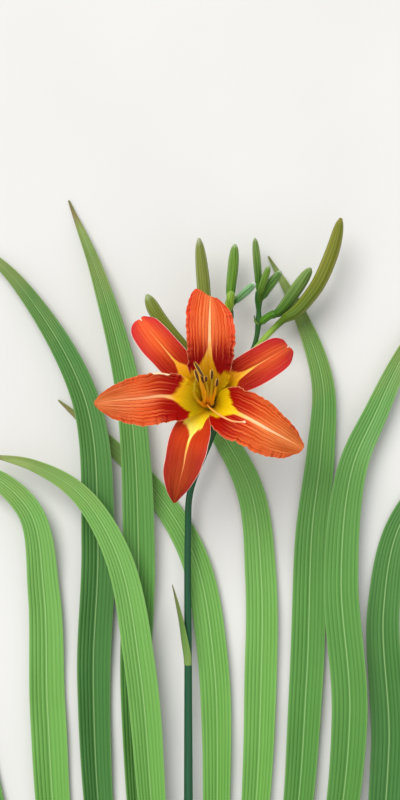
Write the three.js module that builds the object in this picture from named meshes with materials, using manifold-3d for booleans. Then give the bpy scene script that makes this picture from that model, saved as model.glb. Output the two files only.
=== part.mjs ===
// A daylily plant with one open flower, cut through its crown and laid on a flat surface, flower up.
// Millimetres, +Z up. The stalk runs from the cut towards +Y, and the flower faces +Z.
// Until the last lines, the middle of the cut bundle lies over the point 0, 0 and the surface is z = 0.

import * as THREE from "three";
import { mergeVertices } from "three/addons/utils/BufferGeometryUtils.js";
import Module from "manifold-3d";

const wasm = await Module();
wasm.setup();

// ---- driving dimensions ----------------------------------------------------------------------

const SEAT = 0.3; // gap left between a piece and what carries it
const BUNDLE_HEIGHT = 11.2; // middle of the folded leaf bases and of the stalk's foot
const CROWN_LENGTH = 9; // slice of crown left on the plant by the cut
const CROWN_STRETCH = 1.48; // width of the crown over its height

const SCAPE_FOOT_RADIUS = 3.6;
const SCAPE_TOP_RADIUS = 1.9;
const BRANCH_RADIUS = 1.4;

const FLOWER = new THREE.Vector3(12.5, 478.9, 39); // where the petals part from the tube
const TUBE_MOUTH_RADIUS = 5.1;
const PETAL_RING = 3.2; // radius of the ring that the petals start from
const SEPAL_RING = 4.3;
const PETAL_HALF_WIDTH = 14;
const TEPAL_THICKNESS = 0.7;
const STAMEN_RING = 1.75;
const FILAMENT_RADIUS = 0.5;
const ANTHER_RADIUS = 0.95;
const STYLE_RADIUS = 0.55;

const LEAF_THICKNESS = 0.7;
const INNER_FOLD = [5.5, 4.4]; // half width and half height of the innermost folded leaf base
const FOLD_STEP = [2.0, 1.2]; // how much wider and higher each next folded base is
const FIRST_EXIT = 112; // height above the cut where the innermost leaves leave the bundle
const EXIT_STEP = 14; // each leaf further out leaves the bundle this much lower
const FOLD_REACH = THREE.MathUtils.degToRad(84); // how far round the bundle each base reaches

// ---- colours ---------------------------------------------------------------------------------

const finish = (color, roughness) => new THREE.MeshStandardMaterial({ color, roughness, metalness: 0 });
const COLOURS = {
  // colour, roughness
  petal: [0xf06127, 0.5],
  sepal: [0xd8452c, 0.5],
  tube: [0xb7a82f, 0.5],
  filament: [0xde840b, 0.5],
  anther: [0x2e180c, 0.9],
  pistil: [0xed9f66, 0.4],
  bud: [0x718535, 0.5],
  stalk: [0x32572b, 0.5],
  bract: [0x6b8a3a, 0.6],
  leaf: [0x6b9e4e, 0.5],
  crown: [0xd9d6b0, 0.7],
};

// ---- helpers ---------------------------------------------------------------------------------

const point = (x, y, z) => new THREE.Vector3(x, y, z);
const smoothstep = THREE.MathUtils.smoothstep;

// A smooth function through [place, value] pairs.
function through(pairs) {
  const last = pairs.length - 1;
  const slope = (i) => {
    const before = pairs[Math.max(i - 1, 0)];
    const after = pairs[Math.min(i + 1, last)];
    return (after[1] - before[1]) / (after[0] - before[0]);
  };
  return (place) => {
    let i = 0;
    while (i < last - 1 && place > pairs[i + 1][0]) i += 1;
    const step = pairs[i + 1][0] - pairs[i][0];
    const t = THREE.MathUtils.clamp((place - pairs[i][0]) / step, 0, 1);
    const mix = t * t * (3 - 2 * t);
    const bend = slope(i) * t * (1 - t) ** 2 - slope(i + 1) * t * t * (1 - t);
    return pairs[i][1] * (1 - mix) + pairs[i + 1][1] * mix + step * bend;
  };
}

function weld(geometry) {
  geometry.deleteAttribute("normal");
  geometry.deleteAttribute("uv");
  return mergeVertices(geometry, 1e-4);
}

// A thin closed sheet: place(u, v, w) puts each corner of a divided box, where u runs along the
// sheet from 0 to 1, v across it from -1 to 1, and w through its thickness from -0.5 to 0.5.
function sheet(alongSteps, acrossSteps, place) {
  const box = new THREE.BoxGeometry(2, 1, 1, acrossSteps, alongSteps, 1);
  // The back is split along the same diagonals as the front, so a twisted sheet keeps its thickness.
  const back = box.groups[5];
  for (let i = back.start; i < back.start + back.count; i += 6) {
    const [a, b, d, , c] = box.index.array.slice(i, i + 5);
    box.index.array.set([a, b, c, a, c, d], i);
  }
  const corners = box.attributes.position;
  for (let i = 0; i < corners.count; i += 1) {
    const spot = place(corners.getY(i) + 0.5, corners.getX(i), corners.getZ(i));
    corners.setXYZ(i, spot.x, spot.y, spot.z);
  }
  return weld(box);
}

// A sheet rolled about its midrib: towards(u) is the direction that the rolled side faces, and
// drawnBack(u) how far its edges lie behind its midrib there.
function rolledSheet(steps, { midrib, towards, halfWidth, rollRadius, thickness, drawnBack }) {
  const near = 0.002;
  return sheet(steps[0], steps[1], (u, v, w) => {
    const along = midrib(Math.min(u + near, 1)).sub(midrib(Math.max(u - near, 0))).normalize();
    const side = along.clone().cross(towards(u)).normalize();
    const inner = side.clone().cross(along);
    const turn = (halfWidth(u) * v) / rollRadius(u);
    const arm = rollRadius(u) - w * thickness(u);
    return midrib(u)
      .addScaledVector(along, -drawnBack(u) * v * v)
      .addScaledVector(side, arm * Math.sin(turn))
      .addScaledVector(inner, rollRadius(u) - arm * Math.cos(turn));
  });
}

// A closed round rod along a curve: radiusAt(u) is its radius, u from 0 to 1 along the curve.
function rod(curve, radiusAt, sides, steps) {
  const tube = new THREE.CylinderGeometry(1, 1, 1, sides, steps);
  const frames = curve.computeFrenetFrames(steps);
  const corners = tube.attributes.position;
  for (let i = 0; i < corners.count; i += 1) {
    const step = Math.round((corners.getY(i) + 0.5) * steps);
    const radius = radiusAt(step / steps);
    const spot = curve.getPointAt(step / steps)
      .addScaledVector(frames.normals[step], corners.getX(i) * radius)
      .addScaledVector(frames.binormals[step], -corners.getZ(i) * radius);
    corners.setXYZ(i, spot.x, spot.y, spot.z);
  }
  return weld(tube);
}

function curveOf(points) {
  return new THREE.CatmullRomCurve3(points.map((p) => point(...p)), false, "centripetal");
}

function toSolid(geometry) {
  return new wasm.Manifold(new wasm.Mesh({
    numProp: 3,
    vertProperties: new Float32Array(geometry.attributes.position.array),
    triVerts: new Uint32Array(geometry.index.array),
  }));
}

function toGeometry(solid) {
  const mesh = solid.getMesh();
  const geometry = new THREE.BufferGeometry();
  geometry.setAttribute("position", new THREE.BufferAttribute(mesh.vertProperties, 3));
  geometry.setIndex(new THREE.BufferAttribute(mesh.triVerts, 1));
  return geometry;
}

// What is left of a piece outside the solid that it is seated on: its largest part.
function seatedOn(geometry, seat) {
  const parts = toSolid(geometry).subtract(seat).decompose();
  parts.sort((a, b) => b.volume() - a.volume());
  return toGeometry(parts[0]);
}

const plant = new THREE.Group();

function addPart(name, geometry, colour) {
  const mesh = new THREE.Mesh(geometry, finish(...COLOURS[colour]));
  mesh.name = name;
  plant.add(mesh);
}

// ---- crown and flower stalk --------------------------------------------------------------------

function makeCrown() {
  const line = curveOf([[0, -CROWN_LENGTH, BUNDLE_HEIGHT], [0, 0, BUNDLE_HEIGHT]]);
  const inset = through([[0, 1.4], [0.3, 0.2], [0.75, 0], [1, 0.3]]);
  return rod(line, (u) => BUNDLE_HEIGHT - inset(u), 20, 4).scale(CROWN_STRETCH, 1, 1);
}

const STALK = curveOf([
  [0, SEAT, BUNDLE_HEIGHT], [0, 60, BUNDLE_HEIGHT], [0, 130, 11], [0.4, 220, 9.4], [0.3, 320, 8.2],
  [0.2, 404.6, 8], [1.5, 428, 8], [12.1, 455.6, 8], [21.2, 477.2, 8], [29.7, 494.2, 8],
  [38.1, 511.7, 8], [40.2, 524.8, 8], [40.2, 537.7, 9],
]);
const LEFT_BRANCH = curveOf([
  [19.8, 474.2, 8], [20.8, 482.5, 9.6], [21.7, 491.3, 11], [23.3, 511, 13], [24.4, 526.2, 14],
    [24.1, 533.5, 15],
]);

const stalkRadius = through([
  [0, SCAPE_FOOT_RADIUS], [0.25, 3.1], [0.55, 2.3], [0.73, SCAPE_TOP_RADIUS], [0.86, SCAPE_TOP_RADIUS],
  [0.885, 2.2], [0.91, 1.6], [0.955, BRANCH_RADIUS], [0.97, 1.8], [0.985, BRANCH_RADIUS], [1, 1.1],
]);
const branchRadius = through([[0, 1.7], [0.15, BRANCH_RADIUS], [0.8, 1.3], [0.9, 1.6], [1, 1.1]]);

function stalkSolid(extra) {
  const main = toSolid(rod(STALK, (u) => stalkRadius(u) + extra, 10, 44));
  const branch = toSolid(rod(LEFT_BRANCH, (u) => branchRadius(u) + extra, 10, 14));
  return main.add(branch);
}

// ---- flower ------------------------------------------------------------------------------------

const TUBE_LINE = curveOf([
  [20, 474.6, 8], [17.8, 475.9, 16], [14.2, 478, 26], [12.5, 478.9, 33.5], [12.5, 478.9, 39],
]);
const tubeRadius = through([[0, 1.7], [0.2, 1.8], [0.36, 2.5], [0.6, 2.9], [0.85, 3.5],
  [1, TUBE_MOUTH_RADIUS]]);

// Each tepal's midrib: its distance from the flower's axis, its height over the tube's mouth, and
// its compass direction in degrees from +X, all from the tube (0) to the tip (1). blunt is how much
// wider than a pointed one its tip is, to each side.
const PETALS = {
  petal_top: {
    radius: [[0, PETAL_RING], [0.12, 4.6], [0.25, 8], [0.38, 14], [0.5, 22], [0.7, 36], [0.85, 46.5],
      [1, 56]],
    height: [[0, SEAT], [0.12, 8.3], [0.25, 17], [0.38, 24.5], [0.5, 29], [0.7, 31.5], [0.85, 31], [1, 28]],
    heading: [[0, 88], [0.25, 89], [0.5, 91], [1, 90]],
    width: 1,
    blunt: 6,
  },
  petal_left: {
    radius: [[0, PETAL_RING], [0.12, 4.6], [0.24, 8], [0.36, 14], [0.47, 22], [0.65, 35.5], [0.83, 48.5],
      [1, 60.6]],
    height: [[0, SEAT], [0.12, 8.5], [0.24, 17.5], [0.36, 25], [0.47, 30], [0.65, 34.5], [0.83, 36], [1, 34]],
    heading: [[0, 200], [0.12, 192], [0.25, 184], [0.36, 177], [0.5, 175], [0.65, 177.5], [1, 180.5]],
    width: 1,
    blunt: 0,
  },
  petal_right: {
    radius: [[0, PETAL_RING], [0.12, 4.6], [0.25, 7.6], [0.36, 12.5], [0.48, 20.5], [0.65, 32],
      [0.83, 43.5], [1, 53.8]],
    height: [[0, SEAT], [0.12, 8.3], [0.25, 17], [0.36, 25], [0.48, 31], [0.65, 35], [0.83, 35], [1, 32]],
    heading: [[0, 332], [0.25, 338], [0.4, 338], [0.65, 335], [1, 334.6]],
    width: 0.92,
    blunt: 6,
  },
};
const SEPALS = {
  sepal_left: {
    radius: [[0, SEPAL_RING], [0.12, 6], [0.25, 10.2], [0.37, 17.5], [0.5, 26.5], [0.68, 39],
      [0.85, 50.5], [1, 58]],
    height: [[0, SEAT], [0.12, 8.3], [0.25, 16.5], [0.37, 22], [0.5, 25], [0.68, 27], [0.85, 25.5], [1, 19]],
    heading: [[0, 142], [0.25, 133], [1, 130]],
    width: 1,
    blunt: 5,
  },
  sepal_right: {
    radius: [[0, SEPAL_RING], [0.13, 6], [0.27, 10], [0.4, 16.5], [0.55, 25.5], [0.73, 37], [0.88, 45.5],
      [1, 50.3]],
    height: [[0, SEAT], [0.13, 8.3], [0.27, 16], [0.4, 21.5], [0.55, 25], [0.73, 26.5], [0.88, 24.5],
      [1, 19]],
    heading: [[0, 33], [0.25, 43], [0.4, 45], [0.7, 39], [1, 36.6]],
    width: 1,
    blunt: 5,
  },
  sepal_bottom: {
    radius: [[0, SEPAL_RING], [0.12, 6], [0.25, 10.2], [0.38, 17], [0.5, 25], [0.68, 37.5], [0.85, 48],
      [1, 56.7]],
    height: [[0, SEAT], [0.12, 8], [0.25, 15.5], [0.38, 22.5], [0.5, 27.5], [0.68, 30.5], [0.85, 30.5],
      [1, 28]],
    heading: [[0, 256], [0.12, 246], [0.25, 241], [0.5, 241], [0.68, 246.5], [1, 250.2]],
    width: 1.06,
    blunt: 0,
  },
};
const petalWidth = through([
  [0, 2.9], [0.12, 3.9], [0.25, 6.2], [0.4, 10.2], [0.55, 13.2], [0.68, PETAL_HALF_WIDTH],
  [0.8, 12.9], [0.9, 9.8], [0.96, 6], [1, 1.2],
]);
const sepalWidth = through([
  [0, 3.9], [0.12, 4.4], [0.25, 5.8], [0.4, 8], [0.55, 9.6], [0.68, 10], [0.8, 9.4], [0.9, 7.4],
    [0.96, 4.8], [1, 1],
]);

function makeTepal(shape, widthAt) {
  const radius = through(shape.radius);
  const height = through(shape.height);
  const heading = through(shape.heading);
  const outward = (u) => {
    const angle = THREE.MathUtils.degToRad(heading(u));
    return point(Math.cos(angle), Math.sin(angle), 0);
  };
  const widened = (u) => THREE.MathUtils.lerp(1, shape.width, smoothstep(u, 0, 0.25));
  return rolledSheet([13, 6], {
    midrib: (u) => outward(u).multiplyScalar(radius(u)).setZ(height(u)).add(FLOWER),
    towards: (u) => outward(u).negate().setZ(0.7 + 4 * u),
    halfWidth: (u) => widthAt(u) * widened(u) + shape.blunt * smoothstep(u, 0.85, 1),
    rollRadius: (u) => radius(u) + 0.03 * radius(u) ** 2 * smoothstep(u, 0, 0.2),
    thickness: (u) => TEPAL_THICKNESS * (1 - 0.5 * u),
    drawnBack: (u) => 0.45 * shape.blunt * smoothstep(u, 0.8, 1),
  });
}

// Each stamen: the compass direction of its foot, the points its filament passes, and its anther's
// middle, direction and length, all measured from the tube's mouth.
const STAMENS = [
  { foot: 195,
    path: [[-2.7, 4.9, 26], [-3.9, 9, 33]], anther: [-4.7, 12.8, 38], lean: [-3, 7, 5], length: 7 },
  { foot: 150,
    path: [[-4.3, 6.3, 29], [-5.4, 11.3, 44]], anther: [-6.2, 16.9, 51], lean: [-4.5, 7.6, 2.5],
      length: 9 },
  { foot: 100,
    path: [[-1.5, 6.6, 28], [-2.2, 9.8, 36]], anther: [-2.6, 12.3, 42], lean: [0, 2.6, 6.5], length: 7 },
  { foot: 50, path: [[0.4, 5.6, 26], [0.9, 11, 36]], anther: [0.5, 14.4, 44], lean: [0, 4.8, 5], length: 7 },
  { foot: -10,
    path: [[2, 3.8, 20], [2.7, 7.2, 31]], anther: [3.2, 10.3, 38], lean: [0.6, 4, 5.5], length: 6.8 },
  { foot: 245,
    path: [[-3.4, -0.6, 14], [-6.6, 0.8, 21], [-8.6, 4.8, 29], [-8.3, 8.4, 35]], anther: [-7.2, 13.7, 42],
    lean: [-2.1, 6.1, 4], length: 7.6 },
];
const antherRadius = through([[0, 0.35], [0.15, 0.8], [0.5, ANTHER_RADIUS], [0.85, 0.8], [1, 0.35]]);

function antherLine(stamen) {
  const middle = point(...stamen.anther).add(FLOWER);
  const reach = point(...stamen.lean).setLength(stamen.length / 2);
  return new THREE.LineCurve3(middle.clone().sub(reach), middle.clone().add(reach));
}

function makeAnther(stamen, extra) {
  return rod(antherLine(stamen), (u) => antherRadius(u) + extra, 6, 6);
}

function makeFilament(stamen) {
  const angle = THREE.MathUtils.degToRad(stamen.foot);
  const foot = [STAMEN_RING * Math.cos(angle), STAMEN_RING * Math.sin(angle)];
  const points = [[...foot, SEAT], [...foot, 4], ...stamen.path, stamen.anther];
  const line = curveOf(points.map((p) => point(...p).add(FLOWER)));
  const taper = (u) => FILAMENT_RADIUS * (1 - 0.3 * u);
  return seatedOn(rod(line, taper, 6, 10), toSolid(makeAnther(stamen, SEAT)));
}

function makePistil() {
  const points = [
    [0, -0.2, SEAT], [0, -0.4, 6], [1.7, -4.6, 25], [6.7, -7.9, 40], [11.8, -9.9, 50], [17.5, -10.1, 60],
  ];
  const line = curveOf(points.map((p) => point(...p).add(FLOWER)));
  const radius = through([[0, STYLE_RADIUS], [0.95, 0.45], [0.98, 0.85], [1, 0.4]]);
  return rod(line, radius, 6, 18);
}

// ---- buds and bracts ---------------------------------------------------------------------------

// Each bud with its pedicel: the points it passes from the middle of the branch, its greatest
// radius, its pedicel's radius, and how far along it the pedicel ends.
const BUDS = [
  { path: [[20.6, 481.7, 9.5], [9.8, 495.7, 17], [-0.8, 512.4, 21], [-15.3, 528.4, 24], [-22.7, 538.4, 25]],
    radius: 3.2, pedicel: 1.2, neck: 0.12 },
  { path: [[21.9, 494.5, 11.3], [14.9, 510.9, 16], [10.6, 524.8, 18], [8.7, 547.1, 20], [6.4, 570.3, 22]],
    radius: 3.5, pedicel: 1.2, neck: 0.12 },
  { path: [[24.1, 532.5, 15], [24.2, 540.3, 14], [25.6, 554.4, 13], [26.7, 567.8, 14]],
    radius: 3, pedicel: 1, neck: 0.12 },
  { path: [[24.4, 528, 14.2], [27.5, 531, 18], [31, 539.8, 20], [37.9, 545.4, 23]],
    radius: 1.9, pedicel: 0.9, neck: 0.3 },
  { path: [[40.2, 531, 8.5], [43, 536.5, 12.5], [47, 545, 15.5], [52.4, 552.3, 18]],
    radius: 2.4, pedicel: 1, neck: 0.25 },
  { path: [[40.2, 523, 8], [46, 527.4, 11], [51.5, 529.6, 13], [60.4, 541.2, 16], [69.2, 554, 18]],
    radius: 3.5, pedicel: 1.7, neck: 0.25 },
  { path: [[33.9, 502.9, 8], [39.9, 513.1, 13], [54.1, 526.3, 17], [62.1, 529.9, 18], [69.3, 538.5, 19],
    [74.3, 546.6, 20], [81.3, 563.9, 20], [85.8, 581.7, 20]], radius: 4.5, pedicel: 1.5, neck: 0.28 },
  { path: [[40.2, 536.5, 9], [40, 547.8, 11], [39.2, 557.9, 12], [38, 571.4, 12]],
    radius: 2.2, pedicel: 1, neck: 0.15 },
  { path: [[40.2, 534.8, 8.8], [40.8, 540, 15], [43, 547.3, 19.5], [45.6, 554.9, 22]],
    radius: 1.9, pedicel: 0.8, neck: 0.3 },
  { path: [[24.4, 524, 13.9], [22.5, 528, 18.5], [23, 536, 22.5], [23.1, 541.2, 24]],
    radius: 1.4, pedicel: 0.7, neck: 0.4 },
];

function makeBud({ path, radius, pedicel, neck }) {
  const swell = (1 - neck) / 4;
  const radiusAt = through([
    [0, pedicel], [neck, pedicel], [neck + swell, radius * 0.8], [neck + 2 * swell, radius],
    [neck + 3 * swell, radius * 0.93], [1 - 0.25 * swell, radius * 0.42], [1, 0.35],
  ]);
  return rod(curveOf(path), radiusAt, 8, 14);
}

// Each bract: the stalk or branch it clasps, how far along that it starts, the compass side it
// stands on in degrees from +X towards +Z, its length and how far its tip stands off.
const BRACTS = [
  { line: STALK, start: 0.6, stalk: 2.4, side: 150, length: 46, off: 7 },
  { line: STALK, start: 0.83, stalk: 2.1, side: 200, length: 20, off: 4 },
  { line: STALK, start: 0.905, stalk: 1.9, side: -30, length: 13, off: 3 },
  { line: STALK, start: 0.966, stalk: 1.75, side: 190, length: 12, off: 3 },
  { line: LEFT_BRANCH, start: 0.66, stalk: 1.6, side: 200, length: 12, off: 3 },
];

function makeBract({ line, start, stalk, side, length, off }) {
  const foot = line.getPointAt(start);
  const along = line.getTangentAt(start);
  const across = along.clone().cross(point(0, 0, 1)).normalize();
  const up = across.clone().cross(along);
  const angle = THREE.MathUtils.degToRad(side);
  const out = across.multiplyScalar(Math.cos(angle)).addScaledVector(up, Math.sin(angle));
  const clasp = stalk + SEAT + 0.35;
  const standOff = (u) => clasp + off * u * u;
  return rolledSheet([6, 4], {
    midrib: (u) => foot.clone().addScaledVector(along, length * u).addScaledVector(out, standOff(u)),
    towards: () => out.clone().negate(),
    halfWidth: through([[0, clasp * 1.5], [0.3, clasp * 1.35], [0.7, clasp * 0.7], [1, 0.5]]),
    rollRadius: (u) => clasp + 4 * u,
    thickness: () => 0.5,
    drawnBack: () => 0,
  });
}

// ---- leaves ------------------------------------------------------------------------------------

// Leaves leave the bundle alternately to the left (-1) and the right (1). rank counts outwards.
// Each path gives x, y and the height of the leaf's underside, after it has left the bundle.
const LEAVES = [
  { hand: -1, rank: 0, width: 9.5,
    path: [[-17, 190, 9], [-21, 260, 11], [-27, 330, 14], [-39, 392, 17], [-60, 427, 18],
    [-86, 443, 16], [-113, 449, 12]] },
  { hand: 1, rank: 0, width: 9.5,
    path: [[15, 180, 5], [17, 250, 0], [15, 330, 0], [4, 390, 0], [-20, 430, 0], [-48, 458, 0],
    [-74, 480, 0]] },
  { hand: -1, rank: 1, width: 10,
    path: [[-18, 160, 3], [-26, 230, 0], [-30, 320, 0], [-28, 400, 7], [-33, 480, 8],
    [-50, 548, 6], [-68, 594, 0]] },
  { hand: 1, rank: 1, width: 10,
    path: [[20, 150, 3], [37, 230, 0], [42, 320, 0], [42, 380, 0], [36, 428, 0], [17, 464, 0],
    [-8, 492, 0], [-28, 520, 0]] },
  { hand: -1, rank: 2, width: 10.5,
    path: [[-30, 140, 0], [-48, 220, 0], [-54, 320, 0], [-51, 400, 7], [-58, 480, 8],
    [-96, 546, 5], [-128, 575, 0]] },
  { hand: 1, rank: 2, width: 10.5,
    path: [[34, 140, 0], [59, 220, 0], [68, 320, 0], [71, 405, 1], [76, 450, 2], [77, 490, 3],
    [63, 531, 4], [46, 562, 1]] },
  { hand: -1, rank: 3, width: 11,
    path: [[-46, 130, 0], [-72, 210, 0], [-80, 300, 0], [-82, 370, 3], [-90, 418, 9],
    [-118, 438, 9], [-150, 414, 0]] },
  { hand: 1, rank: 3, width: 11,
    path: [[50, 130, 0], [81, 210, 0], [92, 300, 7], [87, 380, 8], [93, 440, 8], [107, 473, 7],
    [124, 508, 5], [150, 548, 0]] },
  { hand: -1, rank: 4, width: 11,
    path: [[-60, 115, 0], [-98, 190, 0], [-122, 280, 0], [-142, 370, 2], [-172, 440, 4],
    [-205, 480, 0]] },
  { hand: 1, rank: 4, width: 11,
    path: [[64, 115, 0], [103, 190, 0], [115, 280, 0], [112, 360, 0], [122, 410, 0],
    [152, 446, 0], [192, 462, 0]] },
  { hand: -1, rank: 5, width: 10.5,
    path: [[-70, 92, 0], [-122, 145, 0], [-175, 195, 3], [-222, 222, 2], [-248, 228, 0]] },
  { hand: 1, rank: 5, width: 10.5,
    path: [[74, 90, 0], [128, 140, 0], [182, 180, 3], [222, 196, 1], [246, 196, 0]] },
];
const bladeWidth = through([[0, 0.85], [0.25, 0.9], [0.5, 1], [0.7, 0.88], [0.85, 0.6], [0.95, 0.28],
  [1, 0.06]]);
const bladeFold = through([[0, 42], [0.3, 34], [0.55, 22], [1, 12]]);
const BLADE_TURN = 82; // degrees that a blade turns, from standing on edge to lying on its back
const LEAF_STEPS = [22, 4];

// The cross-section of a leaf at v across it: a half ellipse round the bundle, and a shallow V once
// it is free. back runs from the keel into the fold, and side runs across the leaf.
function foldedSection(v, free, fold, halfWidth, foldAngle) {
  const round = v * FOLD_REACH;
  const wrap = { back: fold[0] * (1 - Math.cos(round)), side: fold[1] * Math.sin(round) };
  const wrapFace = point(Math.cos(round) / fold[0], -Math.sin(round) / fold[1], 0).normalize();
  const flat = { back: Math.abs(v) * halfWidth * Math.sin(foldAngle),
    side: v * halfWidth * Math.cos(foldAngle) };
  const flatFace = point(Math.cos(foldAngle), -Math.sign(v) * Math.sin(foldAngle), 0);
  return {
    back: THREE.MathUtils.lerp(wrap.back, flat.back, free),
    side: THREE.MathUtils.lerp(wrap.side, flat.side, free),
    face: wrapFace.lerp(flatFace, free).normalize(),
  };
}

function makeLeaf({ hand, rank, width, path }) {
  const fold = [INNER_FOLD[0] + FOLD_STEP[0] * rank, INNER_FOLD[1] + FOLD_STEP[1] * rank];
  const exit = FIRST_EXIT - EXIT_STEP * rank;
  const underside = BUNDLE_HEIGHT - fold[1] - LEAF_THICKNESS / 2;
  const keelX = hand * fold[0];
  const folded = [[keelX, SEAT, underside], [keelX, exit * 0.6, underside], [keelX + hand, exit, underside]];
  const line = curveOf([...folded, ...path]);
  const total = line.getLength();
  const lift = (u) => Math.max(line.getPointAt(u).z, 0);
  const shapeAt = (u, v) => {
    const gone = u * total;
    const free = smoothstep(gone, exit * 0.7, exit + 62);
    const blade = THREE.MathUtils.clamp((gone - exit) / (total - exit), 0, 1);
    const foldAngle = THREE.MathUtils.degToRad(bladeFold(blade));
    return foldedSection(v, free, fold, width * bladeWidth(blade), foldAngle);
  };
  const turnAt = (u) => THREE.MathUtils.degToRad(BLADE_TURN * smoothstep(u * total, exit + 5, exit + 105));
  const frameAt = (u) => {
    const along = line.getTangentAt(u).setZ(0).normalize();
    const inward = along.clone().cross(point(0, 0, -hand));
    const back = inward.multiplyScalar(Math.cos(turnAt(u))).setZ(Math.sin(turnAt(u)));
    return { back, side: along.cross(back) };
  };
  const lowest = (u) => {
    const { back, side } = frameAt(u);
    const heights = [-1, -0.5, 0, 0.5, 1].map((v) => {
      const section = shapeAt(u, v);
      return section.back * back.z + section.side * side.z;
    });
    return Math.min(...heights) - LEAF_THICKNESS / 2;
  };
  return sheet(LEAF_STEPS[0], LEAF_STEPS[1], (u, v, w) => {
    const { back, side } = frameAt(u);
    const section = shapeAt(u, v);
    const keel = line.getPointAt(u).setZ(lift(u) - lowest(u));
    const depth = w * LEAF_THICKNESS;
    return keel
      .addScaledVector(back, section.back + depth * section.face.x)
      .addScaledVector(side, section.side + depth * section.face.y);
  });
}

// ---- the whole plant ---------------------------------------------------------------------------

const stalkSeat = stalkSolid(SEAT);
addPart("crown", makeCrown(), "crown");
addPart("scape", toGeometry(stalkSolid(0)), "stalk");
addPart("flower_tube", seatedOn(rod(TUBE_LINE, tubeRadius, 12, 14), stalkSeat), "tube");
for (const [name, shape] of Object.entries(PETALS)) addPart(name, makeTepal(shape, petalWidth), "petal");
for (const [name, shape] of Object.entries(SEPALS)) addPart(name, makeTepal(shape, sepalWidth), "sepal");
STAMENS.forEach((stamen, i) => {
  addPart(`filament_${i + 1}`, makeFilament(stamen), "filament");
  addPart(`anther_${i + 1}`, makeAnther(stamen, 0), "anther");
});
addPart("pistil", makePistil(), "pistil");
BUDS.forEach((bud, i) => addPart(`bud_${i + 1}`, seatedOn(makeBud(bud), stalkSeat), "bud"));
BRACTS.forEach((bract, i) => addPart(`bract_${i + 1}`, seatedOn(makeBract(bract), stalkSeat), "bract"));
LEAVES.forEach((leaf, i) => addPart(`leaf_${i + 1}`, makeLeaf(leaf), "leaf"));

// The row's origin: the middle of the plant's outline, on the surface that it lies on.
const outline = new THREE.Box3().setFromObject(plant);
const middle = outline.getCenter(new THREE.Vector3());
plant.position.set(-middle.x, -middle.y, -outline.min.z);

export default plant;
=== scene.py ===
# %% [markdown]
# # A cut daylily, lying with its flower up
#
# The plant has one open flower, ten buds, a branched stalk and twelve strap leaves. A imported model
# already gives the size and place of each piece, so this script loads it first, and then makes a
# finer piece to stand for each of its nodes.
# Lengths are in millimetres from the point on the board below the crown's upper end, where stalk
# and leaves start. The stalk runs along +Y, and the flower faces +Z. The helpers turn lengths to the
# metres of the shared frame.

# %% Load the fixed frame
import math

import bpy
import numpy as np
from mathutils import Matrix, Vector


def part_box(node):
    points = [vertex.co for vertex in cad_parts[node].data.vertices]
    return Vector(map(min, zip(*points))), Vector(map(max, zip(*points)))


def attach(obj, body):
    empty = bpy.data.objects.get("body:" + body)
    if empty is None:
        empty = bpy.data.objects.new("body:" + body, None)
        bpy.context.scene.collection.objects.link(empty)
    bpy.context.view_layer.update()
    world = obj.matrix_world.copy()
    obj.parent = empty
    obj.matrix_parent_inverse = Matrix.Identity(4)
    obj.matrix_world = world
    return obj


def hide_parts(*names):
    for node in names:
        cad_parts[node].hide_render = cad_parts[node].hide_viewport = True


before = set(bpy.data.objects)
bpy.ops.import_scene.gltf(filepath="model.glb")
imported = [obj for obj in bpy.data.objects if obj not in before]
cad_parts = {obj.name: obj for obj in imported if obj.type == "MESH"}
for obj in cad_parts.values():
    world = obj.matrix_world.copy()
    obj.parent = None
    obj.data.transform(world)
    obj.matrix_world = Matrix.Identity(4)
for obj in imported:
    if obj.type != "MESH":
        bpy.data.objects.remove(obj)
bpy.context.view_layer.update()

MM = 0.001
crown_low, crown_high = (np.array(corner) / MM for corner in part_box("crown"))
CUT = np.array([(crown_low[0] + crown_high[0]) / 2, crown_high[1], 0])
print("nodes:", len(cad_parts), "middle of the cut:", CUT.round(2))

# %% [markdown]
# ## Camera
#
# A flower is judged by its face, so the camera looks straight down into it. It is as far off as a
# hand-held camera would be, because a nearer one makes the raised petals look too large.

# %% Camera
EYE = (7, 480, 880)  # over the flower
LENS = 69.23  # in mm on the usual 36 mm frame: the flower fills half the width
bpy.ops.object.select_all(action="DESELECT")
bpy.ops.object.camera_add(location=(CUT + EYE) * MM, rotation=(0, 0, 0))
camera = bpy.context.object
camera.name = "camera"
camera.data.lens = LENS
bpy.context.scene.camera = camera
bpy.context.scene.view_settings.view_transform = "Standard"  # colours stay as full as in life
print("camera at", [round(x, 3) for x in camera.location])

# %% [markdown]
# ## Colours and nodes
#
# Colours are written as the hex codes that people read off a screen, and shaders need them linear.
# Every material below is a web of small nodes, so one function adds a node of any kind, sets it
# and links it. Four short ones stand for the kinds that the recipes use most, so that each recipe
# stays a few lines that read from top to bottom.

# %% A colour, and a node
def linear(code):
    """An sRGB hex code as linear red, green, blue and alpha."""
    parts = [int(code[i:i + 2], 16) / 255 for i in (1, 3, 5)]
    return [c / 12.92 if c <= 0.04045 else ((c + 0.055) / 1.055) ** 2.4 for c in parts] + [1.0]


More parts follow.
